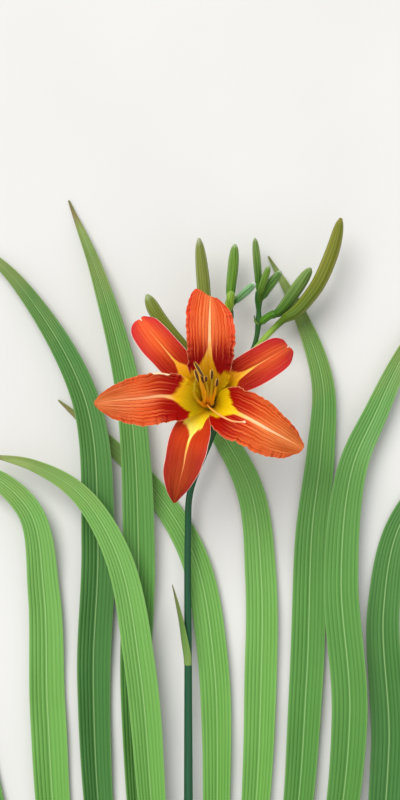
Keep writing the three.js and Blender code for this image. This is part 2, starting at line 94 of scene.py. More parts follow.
def add(skin, kind, inputs, stops=(), **settings):
    """One more node in a material. inputs maps a socket's name or number to a value, a hex code,
    a node or a socket, and stops are a colour ramp's places, each with a grey or a hex code."""
    node = skin.node_tree.nodes.new("ShaderNode" + kind)
    for name, value in settings.items():
        setattr(node, name, value)
    for name, value in inputs.items():
        named = [s for s in node.inputs if s.enabled and s.name == name]
        socket = named[0] if named else node.inputs[name]
        if isinstance(value, bpy.types.Node):
            value = next(s for s in value.outputs if s.enabled)
        if isinstance(value, bpy.types.NodeSocket):
            skin.node_tree.links.new(value, socket)
        else:
            socket.default_value = linear(value) if isinstance(value, str) else value
    for i, (place, value) in enumerate(stops):
        steps = node.color_ramp.elements
        step = steps[0] if i == 0 else steps[-1] if i == len(stops) - 1 else steps.new(place)
        step.position = place
        step.color = linear(value) if isinstance(value, str) else (value, value, value, 1)
    return node


def maths(skin, operation, *values):
    """The result of one operation on numbers, nodes or sockets."""
    return add(skin, "Math", dict(enumerate(values)), operation=operation)


def ramp(skin, value, stops):
    """The colour or grey that a value has on a ramp."""
    return add(skin, "ValToRGB", {"Fac": value}, stops=stops)


def fitted(skin, value, start=0.0, end=1.0, low=0.0, high=1.0, soft=False):
    """low up to a value of start, high from end on, and an even or a soft change between them."""
    return add(skin, "MapRange", {"Value": value, "From Min": start, "From Max": end, "To Min": low,
                                  "To Max": high}, interpolation_type="SMOOTHSTEP" if soft else "LINEAR")


def noise(skin, vector, scale, detail):
    """Soft random patches. Of three numbers as scale, the smallest is the way they are longest."""
    if isinstance(scale, tuple):
        vector = add(skin, "Mapping", {"Vector": vector, "Scale": scale})
        scale = 1.0
    return add(skin, "TexNoise", {"Vector": vector, "Scale": scale, "Detail": detail})

# %% How every material starts and ends
def new_skin(name, wax, shine=0.3, glow=0.0):
    """A material with only its shader: living tissue under a thin coat of plant wax. glow is the
    share of the light that passes into the tissue and leaves it nearby."""
    skin = bpy.data.materials.new(name)
    skin.use_nodes = True
    shader = skin.node_tree.nodes["Principled BSDF"]
    shader.inputs["IOR"].default_value = 1.43  # plant wax
    shader.inputs["Specular IOR Level"].default_value = shine
    shader.inputs["Coat Weight"].default_value = wax
    shader.inputs["Coat Roughness"].default_value = 0.35
    shader.inputs["Subsurface Weight"].default_value = glow
    shader.inputs["Subsurface Radius"].default_value = (1.0, 0.5, 0.2)
    shader.inputs["Subsurface Scale"].default_value = 1.2 * MM
    return skin


def cover(skin, colour, roughness, height, depth):
    """Joins the finished colour, roughness and height (depth millimetres deep) to the shader."""
    shader = skin.node_tree.nodes["Principled BSDF"]
    relief = add(skin, "Bump", {"Height": height, "Distance": depth * MM, "Strength": 1.0})
    for name, node in (("Base Color", colour), ("Roughness", roughness), ("Normal", relief)):
        skin.node_tree.links.new(next(s for s in node.outputs if s.enabled), shader.inputs[name])
    print("finish:", skin.name)
    return skin

# %% [markdown]
# ## Floor and light
#
# The plant lies on a pale board. Its finish is matt, with the faintest mottling, so that it holds
# soft shadows and nothing else. Plants look best under a bright overcast sky, which is how they
# are seen outdoors. A sun with a very wide disc from the upper left gives that, as it lights the
# whole board evenly, and the pale sky around fills the shadows.

# %% Floor
bpy.ops.mesh.primitive_plane_add(size=60, location=(0, 0, -0.4 * MM))
floor = bpy.context.object
floor.name = "board"
board = new_skin("matt_board", 0)
mottle = noise(board, add(board, "TexCoord", {}).outputs["Object"], 9.0, 2.0)
tone = ramp(board, mottle, [(0.3, "#dcdad5"), (0.7, "#e0deda")])
floor.data.materials.append(cover(board, tone, fitted(board, mottle, low=0.75, high=0.85), mottle, 0.05))

# %% Light
for name, tilt, heading, strength, disc in (("key", 38, 35, 2.5, 40), ("fill", 55, 215, 0.35, 90)):
    bpy.ops.object.light_add(type="SUN", location=(0, 0, 2))
    light = bpy.context.object
    light.name = name
    light.data.energy = strength
    light.data.angle = math.radians(disc)
    light.rotation_euler = (math.radians(-tilt), 0, math.radians(heading))
sky = bpy.data.worlds.new("pale_sky")
sky.use_nodes = True
sky.node_tree.nodes["Background"].inputs["Color"].default_value = linear("#f4f7fa")
sky.node_tree.nodes["Background"].inputs["Strength"].default_value = 0.62
bpy.context.scene.world = sky

# %% [markdown]
# ## Smooth tables and smooth paths
#
# A grower would describe a petal by a few measurements along it: so wide here, so high there. Two
# helpers turn such short tables into smooth shapes. The first runs a curve through numbers, and
# the second runs a path through points in space, evenly spaced by its length.

# %% A smooth curve through numbers, and a smooth path through points
STEPS = 60  # between two points of a path
NEARBY = 0.004  # the share of a path over which its direction is read


def through(pairs):
    """A smooth function of place through (place, value) pairs."""
    places, values = np.array(pairs, float).T
    slopes = np.gradient(values)
    for i in range(len(places)):
        before, after = max(i - 1, 0), min(i + 1, len(places) - 1)
        slopes[i] = (values[after] - values[before]) / (places[after] - places[before])

    def at(place):
        place = np.clip(place, places[0], places[-1])
        i = np.clip(np.searchsorted(places, place) - 1, 0, len(places) - 2)
        step = places[i + 1] - places[i]
        t = (place - places[i]) / step
        mix = t * t * (3 - 2 * t)
        bend = slopes[i] * t * (1 - t) ** 2 - slopes[i + 1] * t * t * (1 - t)
        return values[i] * (1 - mix) + values[i + 1] * mix + step * bend

    return at


def smooth(value, start, end):
    """0 up to start, 1 from end on, and an even S between them."""
    t = np.clip((value - start) / (end - start), 0, 1)
    return t * t * (3 - 2 * t)


def path_through(points):
    """(function of a share from 0 to 1 of the length, length) of a smooth path through points."""
    points = np.array(points, float)
    reached = [2 * points[0] - points[1], *points, 2 * points[-1] - points[-2]]
    rows = [points[:1]]
    # a centripetal curve from b to c, which makes no loop where two points are close
    for a, b, c, d in zip(reached, reached[1:], reached[2:], reached[3:]):
        ab, bc, cd = (np.sqrt(np.linalg.norm(q - p)) for p, q in ((a, b), (b, c), (c, d)))
        leave = bc * ((b - a) / ab - (c - a) / (ab + bc) + (c - b) / bc)
        arrive = bc * ((c - b) / bc - (d - b) / (bc + cd) + (d - c) / cd)
        t = np.linspace(0, 1, STEPS + 1)[1:, None]
        mix = t * t * (3 - 2 * t)
        rows.append(b * (1 - mix) + c * mix + leave * t * (1 - t) ** 2 - arrive * t * t * (1 - t))
    rows = np.vstack(rows)
    reach = np.concatenate([[0], np.cumsum(np.linalg.norm(np.diff(rows, axis=0), axis=1))])

    def at(share):
        gone = np.clip(share, 0, 1) * reach[-1]
        return np.stack([np.interp(gone, reach, rows[:, k]) for k in range(3)], axis=-1)

    return at, reach[-1]


def unit(rows):
    return rows / np.linalg.norm(rows, axis=-1, keepdims=True)


def heading_of(line, share):
    """The direction of a path at each share of its length."""
    return unit(line(np.minimum(share + NEARBY, 1)) - line(np.maximum(share - NEARBY, 0)))

# %% [markdown]
# ## Two ways to lay a grid
#
# Petals and leaves are sheets, and stalks, buds and stamens are tubes. Modelled by hand, a sheet
# would start as a grid whose rows are moved and turned one by one, and a tube as a circle that is
# extruded ring by ring along its path. The rows here follow formulas, with hundreds of rings in
# all, so both start as the same grid primitive, and a formula moves its corners. Edit mode then
# welds a tube's seam and ends, and Solidify gives a sheet its thickness.
# The grid's own UV map stays on the piece: u runs along it and v across or round it. Veins follow
# that map, however the sheet bends.

# %% Sheets and tubes
def laid_grid(name, along, across, place):
    """A grid whose corners are moved to place(u, v): u from 0 to 1 along it, v from -1 to 1."""
    bpy.ops.object.select_all(action="DESELECT")
    bpy.ops.mesh.primitive_grid_add(x_subdivisions=along, y_subdivisions=across, size=1)
    piece = bpy.context.object
    piece.name = piece.data.name = name
    corners = np.empty(3 * len(piece.data.vertices))
    piece.data.vertices.foreach_get("co", corners)
    corners = corners.reshape(-1, 3)
    moved = (place(corners[:, 0] + 0.5, corners[:, 1] * 2) + CUT) * MM
    piece.data.vertices.foreach_set("co", moved.ravel())
    piece.data.update()
    return piece


def weld(piece):
    """Merges what lies in the same place and turns every face outwards."""
    bpy.ops.object.mode_set(mode="EDIT")
    bpy.ops.mesh.select_all(action="SELECT")
    bpy.ops.mesh.remove_doubles(threshold=0.002 * MM)
    bpy.ops.mesh.normals_make_consistent(inside=False)
    bpy.ops.object.mode_set(mode="OBJECT")


def thicken(piece, thickness, back=None, face=None):
    """Gives a sheet its thickness, half to each side, and may give its two sides a skin each."""
    wall = piece.modifiers.new("thickness", "SOLIDIFY")
    wall.thickness = thickness * MM
    wall.offset = 0
    if face:
        piece.data.materials.append(back)
        piece.data.materials.append(face)
        wall.material_offset = wall.material_offset_rim = 1
    bpy.ops.object.modifier_apply(modifier=wall.name)


def tube(name, points, radius, along, around, up=(0, 0, 1), section=None):
    """A closed tube along a path. radius is a function of the share of its length, and section
    multiplies it by a function of the angle from up, in radians, and of that share."""
    line, _ = path_through(points)

    def place(u, v):
        share = np.clip((u * along - 1) / (along - 2), 0, 1)
        turn = v * math.pi
        forward = heading_of(line, share)
        side = unit(np.cross(forward, up))
        arm = radius(share) * (section(turn, share) if section else 1)
        at_an_end = (u < 1e-4) | (u > 1 - 1e-4)  # the first and last ring shrink to a point
        arm = np.where(at_an_end, 0, arm)[:, None]
        out = np.cos(turn)[:, None] * np.cross(side, forward) + np.sin(turn)[:, None] * side
        return line(share) + arm * out

    piece = laid_grid(name, along, around, place)
    weld(piece)
    return piece


def keep(piece, node, skin=None):
    """Smooths a finished piece, gives it its finish, and lets it stand for its node."""
    bpy.ops.object.shade_smooth_by_angle(angle=math.radians(50))
    if skin:
        piece.data.materials.append(skin)
    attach(piece, "root")
    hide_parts(node)
    piece.data.calc_loop_triangles()
    print(f"{piece.name}: {len(piece.data.loop_triangles)} triangles")

# %% [markdown]
# ## The skin of a petal
#
# A daylily's petal is soft tissue one cell thick on each face, satin rather than glossy. Its
# colours sit in bands across it: olive deep in the throat, then yellow, then a dark red eye that
# bleeds outwards along the veins, then orange. A pale midrib runs through them all.
# Paint would need a picture. Nodes can build the same bands from the petal's own UV map: u says
# which band, and a noise that is stretched along u frays the border between two bands along the
# veins. The three sepals take the same recipe, smoother and with crimson edges.

# %% The parts of a petal's recipe
def times(skin, one, other):
    return maths(skin, "MULTIPLY", one, other)


def veins_across(skin, v, veins):
    """A height that is 0 on each vein and 1 between two: veins is how many cross the sheet."""
    return maths(skin, "ABSOLUTE", maths(skin, "SINE", times(skin, v, veins * math.pi)))


def over(skin, colour, share, top):
    """A colour with another laid over it by a share."""
    return add(skin, "Mix", {"Factor": share, "A": colour, "B": top}, data_type="RGBA")


def from_midline(skin, v):
    """0 on a sheet's middle line and 1 at both its edges."""
    return times(skin, maths(skin, "ABSOLUTE", maths(skin, "SUBTRACT", v, 0.5)), 2.0)

# %% Petal and sepal skins
def tepal_skin(name, flesh, pale, veins, vein, eye, reach, gold, rib, margin, rim):
    """flesh: colours from foot to tip, and pale: the streaks in it. veins: how many. vein: their
    colour, and strength along the petal. eye: its colour, strength and how far out it is full.
    reach: how far out the yellow comes, from the left edge to the right, and gold: its colours from
    foot to tip. rib: the midrib's colours, width and strength from foot to tip. margin: its colour,
    and strength across and along. rim: the thin edge's colour and strength."""
    vein_colour, vein_strength = vein
    eye_colour, eye_strength, eye_end = eye
    rib_colours, rib_width, rib_strength = rib
    margin_colour, margin_across, margin_along = margin
    rim_colour, rim_strength = rim

    skin = new_skin(name, wax=0, shine=0.12, glow=0.35)
    uv = add(skin, "UVMap", {})
    place = add(skin, "SeparateXYZ", {"Vector": uv})
    u, v = place.outputs[0], place.outputs[1]
    across = from_midline(skin, v)
    ridge = veins_across(skin, v, veins)
    # streaks 25 mm long and 0.5 mm wide, as vein tissue shows through, and cells of 1.5 x 0.8 mm
    streak = noise(skin, uv, (3, 52, 1), 3.0)
    cells = noise(skin, uv, (48, 34, 1), 1.0)
    teeth = noise(skin, uv, (2, 10, 1), 1.0)
    sparkle = noise(skin, uv, 160.0, 1.0)

    # the flesh, with pale streaks, and a painted highlight beside the midrib of the outer half, where the
    # channel's sides catch the light
    colour = over(skin, ramp(skin, u, flesh), fitted(skin, streak, 0.46, 0.7, high=0.7), pale)
    beside = times(skin, fitted(skin, across, end=0.45, low=0.4, high=0.0), fitted(skin, u, 0.5, 0.65))
    colour = over(skin, colour, beside, pale)

    # the veins, broken into beads by the cells, and the margin
    furrow = fitted(skin, ridge, end=0.6, low=1.0, high=0.0)
    beads = fitted(skin, cells, 0.3, 0.62, low=0.45)
    drawn = times(skin, times(skin, furrow, beads), ramp(skin, u, vein_strength))
    colour = over(skin, colour, drawn, vein_colour)
    tint = times(skin, ramp(skin, across, margin_across), ramp(skin, u, margin_along))
    colour = over(skin, colour, tint, margin_colour)

    # the eye, frayed along the streaks and a little along the veins
    frayed = maths(skin, "MULTIPLY_ADD", streak, 0.3, u)
    frayed = maths(skin, "MULTIPLY_ADD", ridge, 0.05, frayed)
    red = fitted(skin, frayed, eye_end + 0.15, eye_end + 0.37, low=eye_strength, high=0.0, soft=True)
    colour = over(skin, colour, red, eye_colour)

    # the midrib, a pale line that narrows to the tip
    ratio = maths(skin, "DIVIDE", across, ramp(skin, u, rib_width))
    line = fitted(skin, ratio, 0.6, 1.2, low=1.0, high=0.0, soft=True)
    line = times(skin, line, ramp(skin, u, rib_strength))
    colour = over(skin, colour, line, ramp(skin, u, rib_colours))

    # the thin rim, where light comes through
    colour = over(skin, colour, fitted(skin, across, 0.965, 0.995, high=rim_strength), rim_colour)

    # the throat, with a few blunt teeth along its edge
    inside = maths(skin, "SUBTRACT", ramp(skin, v, reach), u)
    inside = maths(skin, "MULTIPLY_ADD", teeth, 0.055, inside)
    inside = maths(skin, "MULTIPLY_ADD", streak, 0.02, inside)
    deep = maths(skin, "MULTIPLY_ADD", streak, 0.12, u)
    colour = over(skin, colour, fitted(skin, inside, 0.018, 0.056, soft=True), ramp(skin, deep, gold))

    height = maths(skin, "MULTIPLY_ADD", cells, 0.8, times(skin, streak, 0.8))
    height = maths(skin, "MULTIPLY_ADD", sparkle, 0.25, height)
    return cover(skin, colour, fitted(skin, sparkle, low=0.5, high=0.7), height, 0.18)


THROAT = [(0.08, "#dcb814"), (0.2, "#c8b20c"), (0.32, "#bcaa08"), (0.4, "#d4b408"), (0.46, "#ecb80c"),
          (0.52, "#fcb424"), (0.66, "#fdbf50")]
PETAL_TISSUE = dict(
    gold=THROAT, veins=15, vein=("#981202", [(0.3, 0.95), (0.65, 0.95), (0.9, 0.8), (1, 0.5)]),
    margin=("#c4441c", [(0.6, 0), (0.95, 0.6)], [(0.45, 0.2), (0.8, 1)]), rim=("#f6a878", 0.5))
SEPAL_TISSUE = dict(
    gold=THROAT,
    flesh=[(0.35, "#b22006"), (0.55, "#cc3c12"), (0.75, "#de501c"), (0.92, "#d44024"), (1, "#cc3028")],
    pale="#ec7238", veins=9, vein=("#b42a10", [(0.3, 0.3), (1, 0.15)]),
    eye=("#8c0e02", 0.5, 0.52),
    rib=([(0.5, "#ffc23e"), (0.62, "#fbb264"), (0.8, "#f59054"), (0.97, "#e4603c"), (1, "#f6f0d8")],
         [(0.4, 0.1), (0.55, 0.07), (0.65, 0.04), (0.96, 0.025), (1, 0.1)],
         [(0.4, 1), (0.66, 0.9), (0.9, 0.1), (0.975, 0), (0.985, 1)]),
    margin=("#b8162a", [(0.25, 0), (0.65, 0.55), (1, 0.95)], [(0.35, 0.2), (0.7, 0.8), (1, 1)]),
    rim=("#ffd0c4", 0.9))

# each one's own, as no two have opened or faded alike, and the yellow ends at a line of its own; the yellow
# of petal_right and sepal_bottom is painted lighter, as painted light in their shade
OWN_COLOURS = {
    "petal_top": dict(
        reach=[(0, 0.44), (0.1, 0.438), (0.22, 0.458), (0.29, 0.484), (0.35, 0.516), (0.41, 0.548),
               (0.45, 0.583), (0.49, 0.64), (0.52, 0.63), (0.55, 0.574), (0.555, 0.53), (0.565, 0.496),
               (0.6, 0.474), (0.63, 0.444), (0.66, 0.41), (0.75, 0.394), (0.8, 0.41), (0.88, 0.426),
               (1, 0.43)],
        gold=[(0.08, "#ccac0c"), (0.3, "#b49a04"), (0.42, "#bc9204"), (0.5, "#c48a04"), (0.58, "#d0961a"),
              (0.68, "#f0b060")],
        flesh=[(0.3, "#b01c06"), (0.5, "#c43408"), (0.68, "#ce400c"), (0.85, "#d44810"), (1, "#cc4418")],
        pale="#ff9a58", eye=("#840400", 1.0, 0.53),
        rib=([(0.4, "#ffc23a"), (0.5, "#ffc074"), (0.65, "#ffc690"), (0.85, "#ffba84"), (1, "#ffa468")],
             [(0.4, 0.2), (0.5, 0.12), (0.6, 0.07), (0.75, 0.055), (1, 0.035)],
             [(0.3, 1), (0.85, 1), (0.98, 0.6)]),
        margin=("#d43a28", [(0.6, 0), (0.95, 0.6)], [(0.45, 0.2), (0.8, 1)])),
    "petal_left": dict(
        reach=[(0, 0.335), (0.1, 0.31), (0.16, 0.301), (0.22, 0.329), (0.27, 0.353), (0.35, 0.388),
               (0.4, 0.413), (0.45, 0.428), (0.51, 0.45), (0.57, 0.436), (0.7, 0.425), (0.8, 0.413),
               (1, 0.41)],
        flesh=[(0.3, "#b01c06"), (0.5, "#d0400e"), (0.68, "#dc5418"), (0.85, "#b84e14"), (1, "#c86830")],
        pale="#f89860", eye=("#9c0400", 1.0, 0.455),
        rib=([(0.4, "#ffc23a"), (0.5, "#fdbc7c"), (0.65, "#f0a070"), (0.85, "#e88e54"), (1, "#ea9058")],
             [(0.4, 0.16), (0.5, 0.07), (0.7, 0.05), (1, 0.04)],
             [(0.3, 1), (0.85, 0.9), (0.98, 0.4)])),
    "petal_right": dict(
        reach=[(0, 0.315), (0.245, 0.317), (0.315, 0.342), (0.394, 0.349), (0.43, 0.379), (0.49, 0.42),
               (0.548, 0.367), (0.613, 0.338), (0.688, 0.306), (0.792, 0.268), (0.887, 0.225), (1, 0.19)],
        # painted light: a yellow lighter than the other petals', where this petal lies in shade
        gold=[(0.08, "#e8c410"), (0.25, "#e4c808"), (0.32, "#f0d008"), (0.4, "#fcd010"), (0.48, "#ffcc38"),
              (0.6, "#ffd080")],
        flesh=[(0.24, "#b01c06"), (0.46, "#d04410"), (0.68, "#ce5618"), (0.85, "#b44e14"), (1, "#c46026")],
        pale="#fc9c58", eye=("#a40802", 1.0, 0.38),
        rib=([(0.4, "#ffc23a"), (0.48, "#ffc888"), (0.65, "#ffc498"), (0.85, "#fbac70"), (1, "#f4904c")],
             [(0.36, 0.11), (0.46, 0.075), (0.6, 0.07), (0.8, 0.055), (1, 0.04)],
             [(0.3, 1), (0.85, 0.95), (0.98, 0.5)])),
    "sepal_left": dict(
        reach=[(0, 0.38), (0.25, 0.42), (0.37, 0.456), (0.43, 0.49), (0.48, 0.53), (0.51, 0.6), (0.54, 0.53),
               (0.575, 0.503), (0.645, 0.478), (0.7, 0.45), (1, 0.38)]),
    "sepal_right": dict(
        reach=[(0, 0.36), (0.16, 0.423), (0.24, 0.455), (0.36, 0.476), (0.43, 0.5), (0.46, 0.54),
               (0.49, 0.66), (0.53, 0.6), (0.56, 0.53), (0.575, 0.5), (0.6, 0.445), (0.69, 0.405),
               (1, 0.33)],
        flesh=[(0.4, "#ac2408"), (0.6, "#b8300e"), (0.8, "#c03612"), (1, "#c02a1c")]),
    "sepal_bottom": dict(
        reach=[(0, 0.15), (0.2, 0.2), (0.27, 0.25), (0.3, 0.34), (0.35, 0.365), (0.41, 0.375), (0.46, 0.42),
               (0.5, 0.52), (0.54, 0.43), (0.6, 0.412), (0.71, 0.389), (0.92, 0.374), (1, 0.33)],
        # painted light: a yellow lighter than the others', where the edge of petal_left shades this sepal
        gold=[(0.1, "#fcdc20"), (0.25, "#ffdc18"), (0.36, "#ffe02c"), (0.44, "#ffe860"), (0.54, "#fff08c")],
        flesh=[(0.3, "#cc440e"), (0.48, "#c84012"), (0.62, "#a42c0e"), (0.82, "#8a2408"), (1, "#6c1402")],
        pale="#c25222", eye=("#b82a08", 0.45, 0.4),
        rib=([(0.5, "#ffc850"), (0.6, "#f8ac60"), (0.8, "#e07c44"), (1, "#d06c3c")],
             [(0.4, 0.09), (0.55, 0.06), (0.65, 0.04), (1, 0.02)],
             [(0.4, 1), (0.62, 0.9), (0.76, 0.35), (0.9, 0.1)]),
        margin=("#a81c28", [(0.5, 0), (0.8, 0.5), (1, 0.9)], [(0.35, 0.5), (1, 0.6)])),
}

# %% [markdown]
# ## Tissue that follows the length
#
# Tube, stamens, buds, stalk and bracts all change colour along their length, with fine fibres in
# the same direction. One recipe serves them: a ramp along u, a noise stretched along u for the
# fibres, and a few ribs round v. The leaves use it too, with their own vein spacing, and so do the
# backs of the petals and sepals, which are paler than their faces and have no dark eye.

# %% A fibrous skin
def fibrous_skin(name, along, dark, ribs=0, fibre=(3.0, 30.0), wax=0.15, rough=(0.4, 0.6), depth=0.12,
                 shade=0.5, line=None, bands=(), seams=None, glow=0.0):
    """along: colours from foot to tip. dark: the colour between the fibres, by the share shade, and
    in the grooves between the ribs, by the share line, or shade where there is none. bands: colours,
    each with how much of it shows from the middle line (0) to the edge (1). seams: a pale colour on
    the three seams of a bud."""
    skin = new_skin(name, wax, glow=glow)
    uv = add(skin, "UVMap", {})
    place = add(skin, "SeparateXYZ", {"Vector": uv})
    u, v = place.outputs[0], place.outputs[1]
    grain = noise(skin, uv, (*fibre, 1.0), 4.0)
    clouds = noise(skin, add(skin, "TexCoord", {}).outputs["Object"], 38.0, 3.0)
    # the colours' borders drift a little up and down, as no two sides ripen alike
    drift = maths(skin, "SUBTRACT", maths(skin, "MULTIPLY_ADD", clouds, 0.16, u), 0.08)
    colour = ramp(skin, drift, along)
    colour = over(skin, colour, fitted(skin, grain, 0.35, 0.65, high=shade), dark)
    height = grain
    if ribs:
        ridge = veins_across(skin, v, ribs)
        colour = over(skin, colour, fitted(skin, ridge, end=0.5, low=line or shade, high=0.0), dark)
        height = maths(skin, "MULTIPLY_ADD", ridge, 0.9, grain)
    if seams:
        seam = fitted(skin, veins_across(skin, v, 3), 0.04, 0.3, low=0.6, high=0.0)
        colour = over(skin, colour, times(skin, seam, fitted(skin, u, 0.3, 0.4)), seams)
    for tint, stops in bands:
        colour = over(skin, colour, ramp(skin, from_midline(skin, v), stops), tint)
    return cover(skin, colour, fitted(skin, grain, low=rough[0], high=rough[1]), height, depth)

# %% [markdown]
# ## Petals and sepals
#
# The flower has three inner petals, broad with crimped edges, over three outer sepals, narrow and
# smooth. Each is a sheet rolled lengthwise: tightly where it leaves the tube, and almost flat by
# its tip. Tables give its midrib's place from 0 to 1, with how far out from the flower's axis and
# how high it is there, and the direction it runs in, in degrees from +X. Then come the width of
# each half (at its foot they are alike) and the outline of its tip.
# Waves of three lengths crimp a petal's edge. They grow from nothing halfway out to their full
# height at the edge, as in the real one, where the edge grows faster than the middle. Between two
# veins the tissue bulges a tenth of a millimetre, which the mesh has too.

# %% The shapes of the six
FLOWER = np.array([12.5, 478.9, 39])  # where the petals part from the tube
SEPAL_FOOT = [(0, 3.9), (0.12, 4.4), (0.25, 5.8), (0.4, 8.4)]
PETALS = {
    "petal_top": dict(
        midrib=[(0, 3.2, 0.05), (0.12, 4.6, 8.3), (0.25, 8, 17), (0.38, 14, 24.5), (0.5, 22, 29),
                (0.7, 36, 31.5), (0.85, 46.5, 31), (1, 56, 28)],
        heading=[(0, 88), (0.25, 89), (0.5, 91), (1, 90)],
        foot=[(0, 2.9), (0.12, 3.9), (0.25, 6.6), (0.36, 10.4), (0.45, 11.7)],
        left=[(0.55, 11.8), (0.68, 12.2), (0.83, 12.6), (0.907, 12.1), (0.94, 11.4), (0.972, 10.4),
              (1, 9.2)],
        right=[(0.55, 13), (0.68, 13.8), (0.75, 13.3), (0.833, 11.9), (0.875, 10.7), (0.907, 9.4),
               (0.94, 7.6), (0.972, 5.7), (1, 3.5)],
        tip=[(-1, 1.4), (-0.87, 3.9), (-0.55, 2.9), (-0.2, 0.7), (0, 0), (1, -1.2)],
        seed=3),
    "petal_left": dict(
        midrib=[(0, 3.2, 0.05), (0.12, 4.6, 8.5), (0.24, 8, 17.5), (0.36, 14, 25), (0.47, 22, 30),
                (0.65, 35.5, 34.5), (0.83, 48.5, 36), (1, 60.6, 34)],
        heading=[(0, 200), (0.12, 190), (0.25, 181), (0.36, 174.5), (0.5, 172.5), (0.65, 176.5), (1, 180.5)],
        foot=[(0, 2.9), (0.12, 3.9), (0.25, 6.6)],
        left=[(0.36, 11.3), (0.45, 13.4), (0.55, 14.6), (0.65, 14.9), (0.76, 13), (0.863, 10.1),
              (0.916, 7.7), (0.968, 4.5), (1, 1.4)],
        right=[(0.36, 10.8), (0.45, 12.6), (0.55, 12.9), (0.65, 12.3), (0.76, 10.4), (0.863, 7.5),
               (0.916, 5.6), (0.968, 3.2), (1, 1)],
        tip=[(-1, 0), (-0.5, 0.4), (0.5, 0.4), (1, 0)],
        seed=8, curl=(0.485, 0.585)),
    "petal_right": dict(
        midrib=[(0, 3.2, 0.05), (0.12, 4.6, 8.3), (0.25, 7.6, 17), (0.36, 12.5, 25), (0.48, 20.5, 31),
                (0.65, 32, 35), (0.83, 43.5, 35), (1, 54.6, 32)],
        heading=[(0, 332), (0.25, 338), (0.4, 338), (0.65, 335), (1, 333.6)],
        foot=[(0, 2.9), (0.12, 4.6)],
        left=[(0.25, 9.6), (0.36, 13.6), (0.43, 13.6), (0.5, 13.5), (0.58, 13.2), (0.707, 10.7), (0.84, 8),
              (0.897, 6.1), (0.95, 4), (1, 1.8)],
        right=[(0.25, 10.8), (0.36, 15), (0.45, 15.4), (0.55, 14.2), (0.64, 14.3), (0.7, 13.8),
               (0.765, 12.9), (0.853, 10.8), (0.922, 8.5), (0.978, 5.2), (1, 3.7)],
        tip=[(-1, -1), (-0.4, -0.1), (0, 0), (0.5, -0.3), (1, -1.3)],
        seed=14),
}
SEPALS = {
    "sepal_left": dict(
        midrib=[(0, 4.3, 0.05), (0.12, 6, 8.3), (0.25, 10.2, 16.5), (0.37, 17.5, 22), (0.5, 26.5, 25),
                (0.68, 39, 27), (0.85, 50.5, 25.5), (1, 57.6, 19)],
        heading=[(0, 142), (0.25, 133), (1, 130)],
        foot=SEPAL_FOOT,
        left=[(0.55, 9.5), (0.632, 9.8), (0.725, 10.3), (0.82, 9.9), (0.908, 8.9), (0.964, 7.7), (1, 6.3)],
        right=[(0.55, 8.5), (0.73, 8), (0.836, 7.3), (0.918, 6.3), (0.962, 5.2), (1, 4)],
        tip=[(-1, -0.9), (-0.6, 0.8), (-0.15, 0.7), (0, 0), (0.15, 0.9), (0.5, 0.9), (1, -1.4)]),
    "sepal_right": dict(
        midrib=[(0, 4.3, 0.05), (0.13, 6, 8.3), (0.27, 10, 16), (0.4, 16.5, 21.5), (0.55, 25.5, 25),
                (0.73, 37, 26.5), (0.88, 46, 24.5), (1, 51.6, 19)],
        heading=[(0, 33), (0.25, 42), (0.4, 43), (0.7, 37.5), (1, 35.4)],
        foot=SEPAL_FOOT,
        left=[(0.55, 9), (0.69, 9.1), (0.815, 8.8), (0.897, 7.8), (0.96, 6.1), (1, 4.6)],
        right=[(0.55, 10.3), (0.64, 10.5), (0.765, 10.1), (0.854, 9.4), (0.93, 8), (0.97, 6.9), (1, 5.7)],
        tip=[(-1, -2.3), (-0.7, -1.6), (-0.15, -0.9), (0, -1), (0.12, -0.1), (0.35, 0.8), (0.7, 0.8),
             (1, -1)]),
    "sepal_bottom": dict(
        midrib=[(0, 4.3, 0.05), (0.12, 6, 8), (0.25, 10.2, 15.5), (0.38, 17, 22.5), (0.5, 25, 27.5),
                (0.68, 37.5, 30.5), (0.85, 48, 30.5), (1, 56.7, 28)],
        heading=[(0, 256), (0.12, 246), (0.25, 241), (0.45, 240.5), (0.55, 243.5), (0.68, 247.5),
                 (1, 250.2)],
        foot=[(0, 3.9), (0.12, 4.4), (0.25, 5.8)],
        left=[(0.4, 9.7), (0.54, 10.8), (0.66, 9.4), (0.767, 7.3), (0.859, 5.2), (0.93, 3), (0.98, 1.4),
              (1, 0.3)],
        right=[(0.4, 10.4), (0.5, 10.9), (0.6, 10.5), (0.7, 10.4), (0.78, 9.3), (0.886, 6), (0.956, 2.9),
               (1, 0.3)],
        tip=[(-1, 0), (1, 0)]),
}

# %% Crimped edges
def crimp(u, v, seed):
    """How far a petal's edge stands up from its smooth sheet, in millimetres. Its waves are about
    8, 4 and 2 mm long. The factors beside them only keep edges and petals from being alike."""
    side = seed + np.where(v > 0, 1.7, 0.0)
    drift = u + 0.012 * np.sin(19 * u + 3 * side) + 0.008 * np.sin(31 * u + 5 * side)
    waves = 0.5 * np.sin(47 * drift + 2.1 * side + 2 * np.abs(v))
    waves += 0.65 * np.sin(17 * u + 2 * side) * np.sin(93 * drift + 5.3 * side - 3 * np.abs(v))
    waves += 0.4 * np.cos(11 * u + 4 * side) * np.sin(171 * drift + 1.3 * side + 2 * np.abs(v))
    return waves * smooth(np.abs(v), 0.5, 1.05) ** 1.5 * smooth(u, 0.2, 0.4)


def bulges(v, veins):
    """0 on each vein and 1 between two, at the same places as the skin's veins."""
    return np.abs(np.sin(veins * math.pi * (v + 1) / 2))

# %% Lay the six
CHANNEL = 0.7  # depth of the groove along the midrib
TURNED_OVER = 1.2  # how high the edge of petal_left rises where it turns over


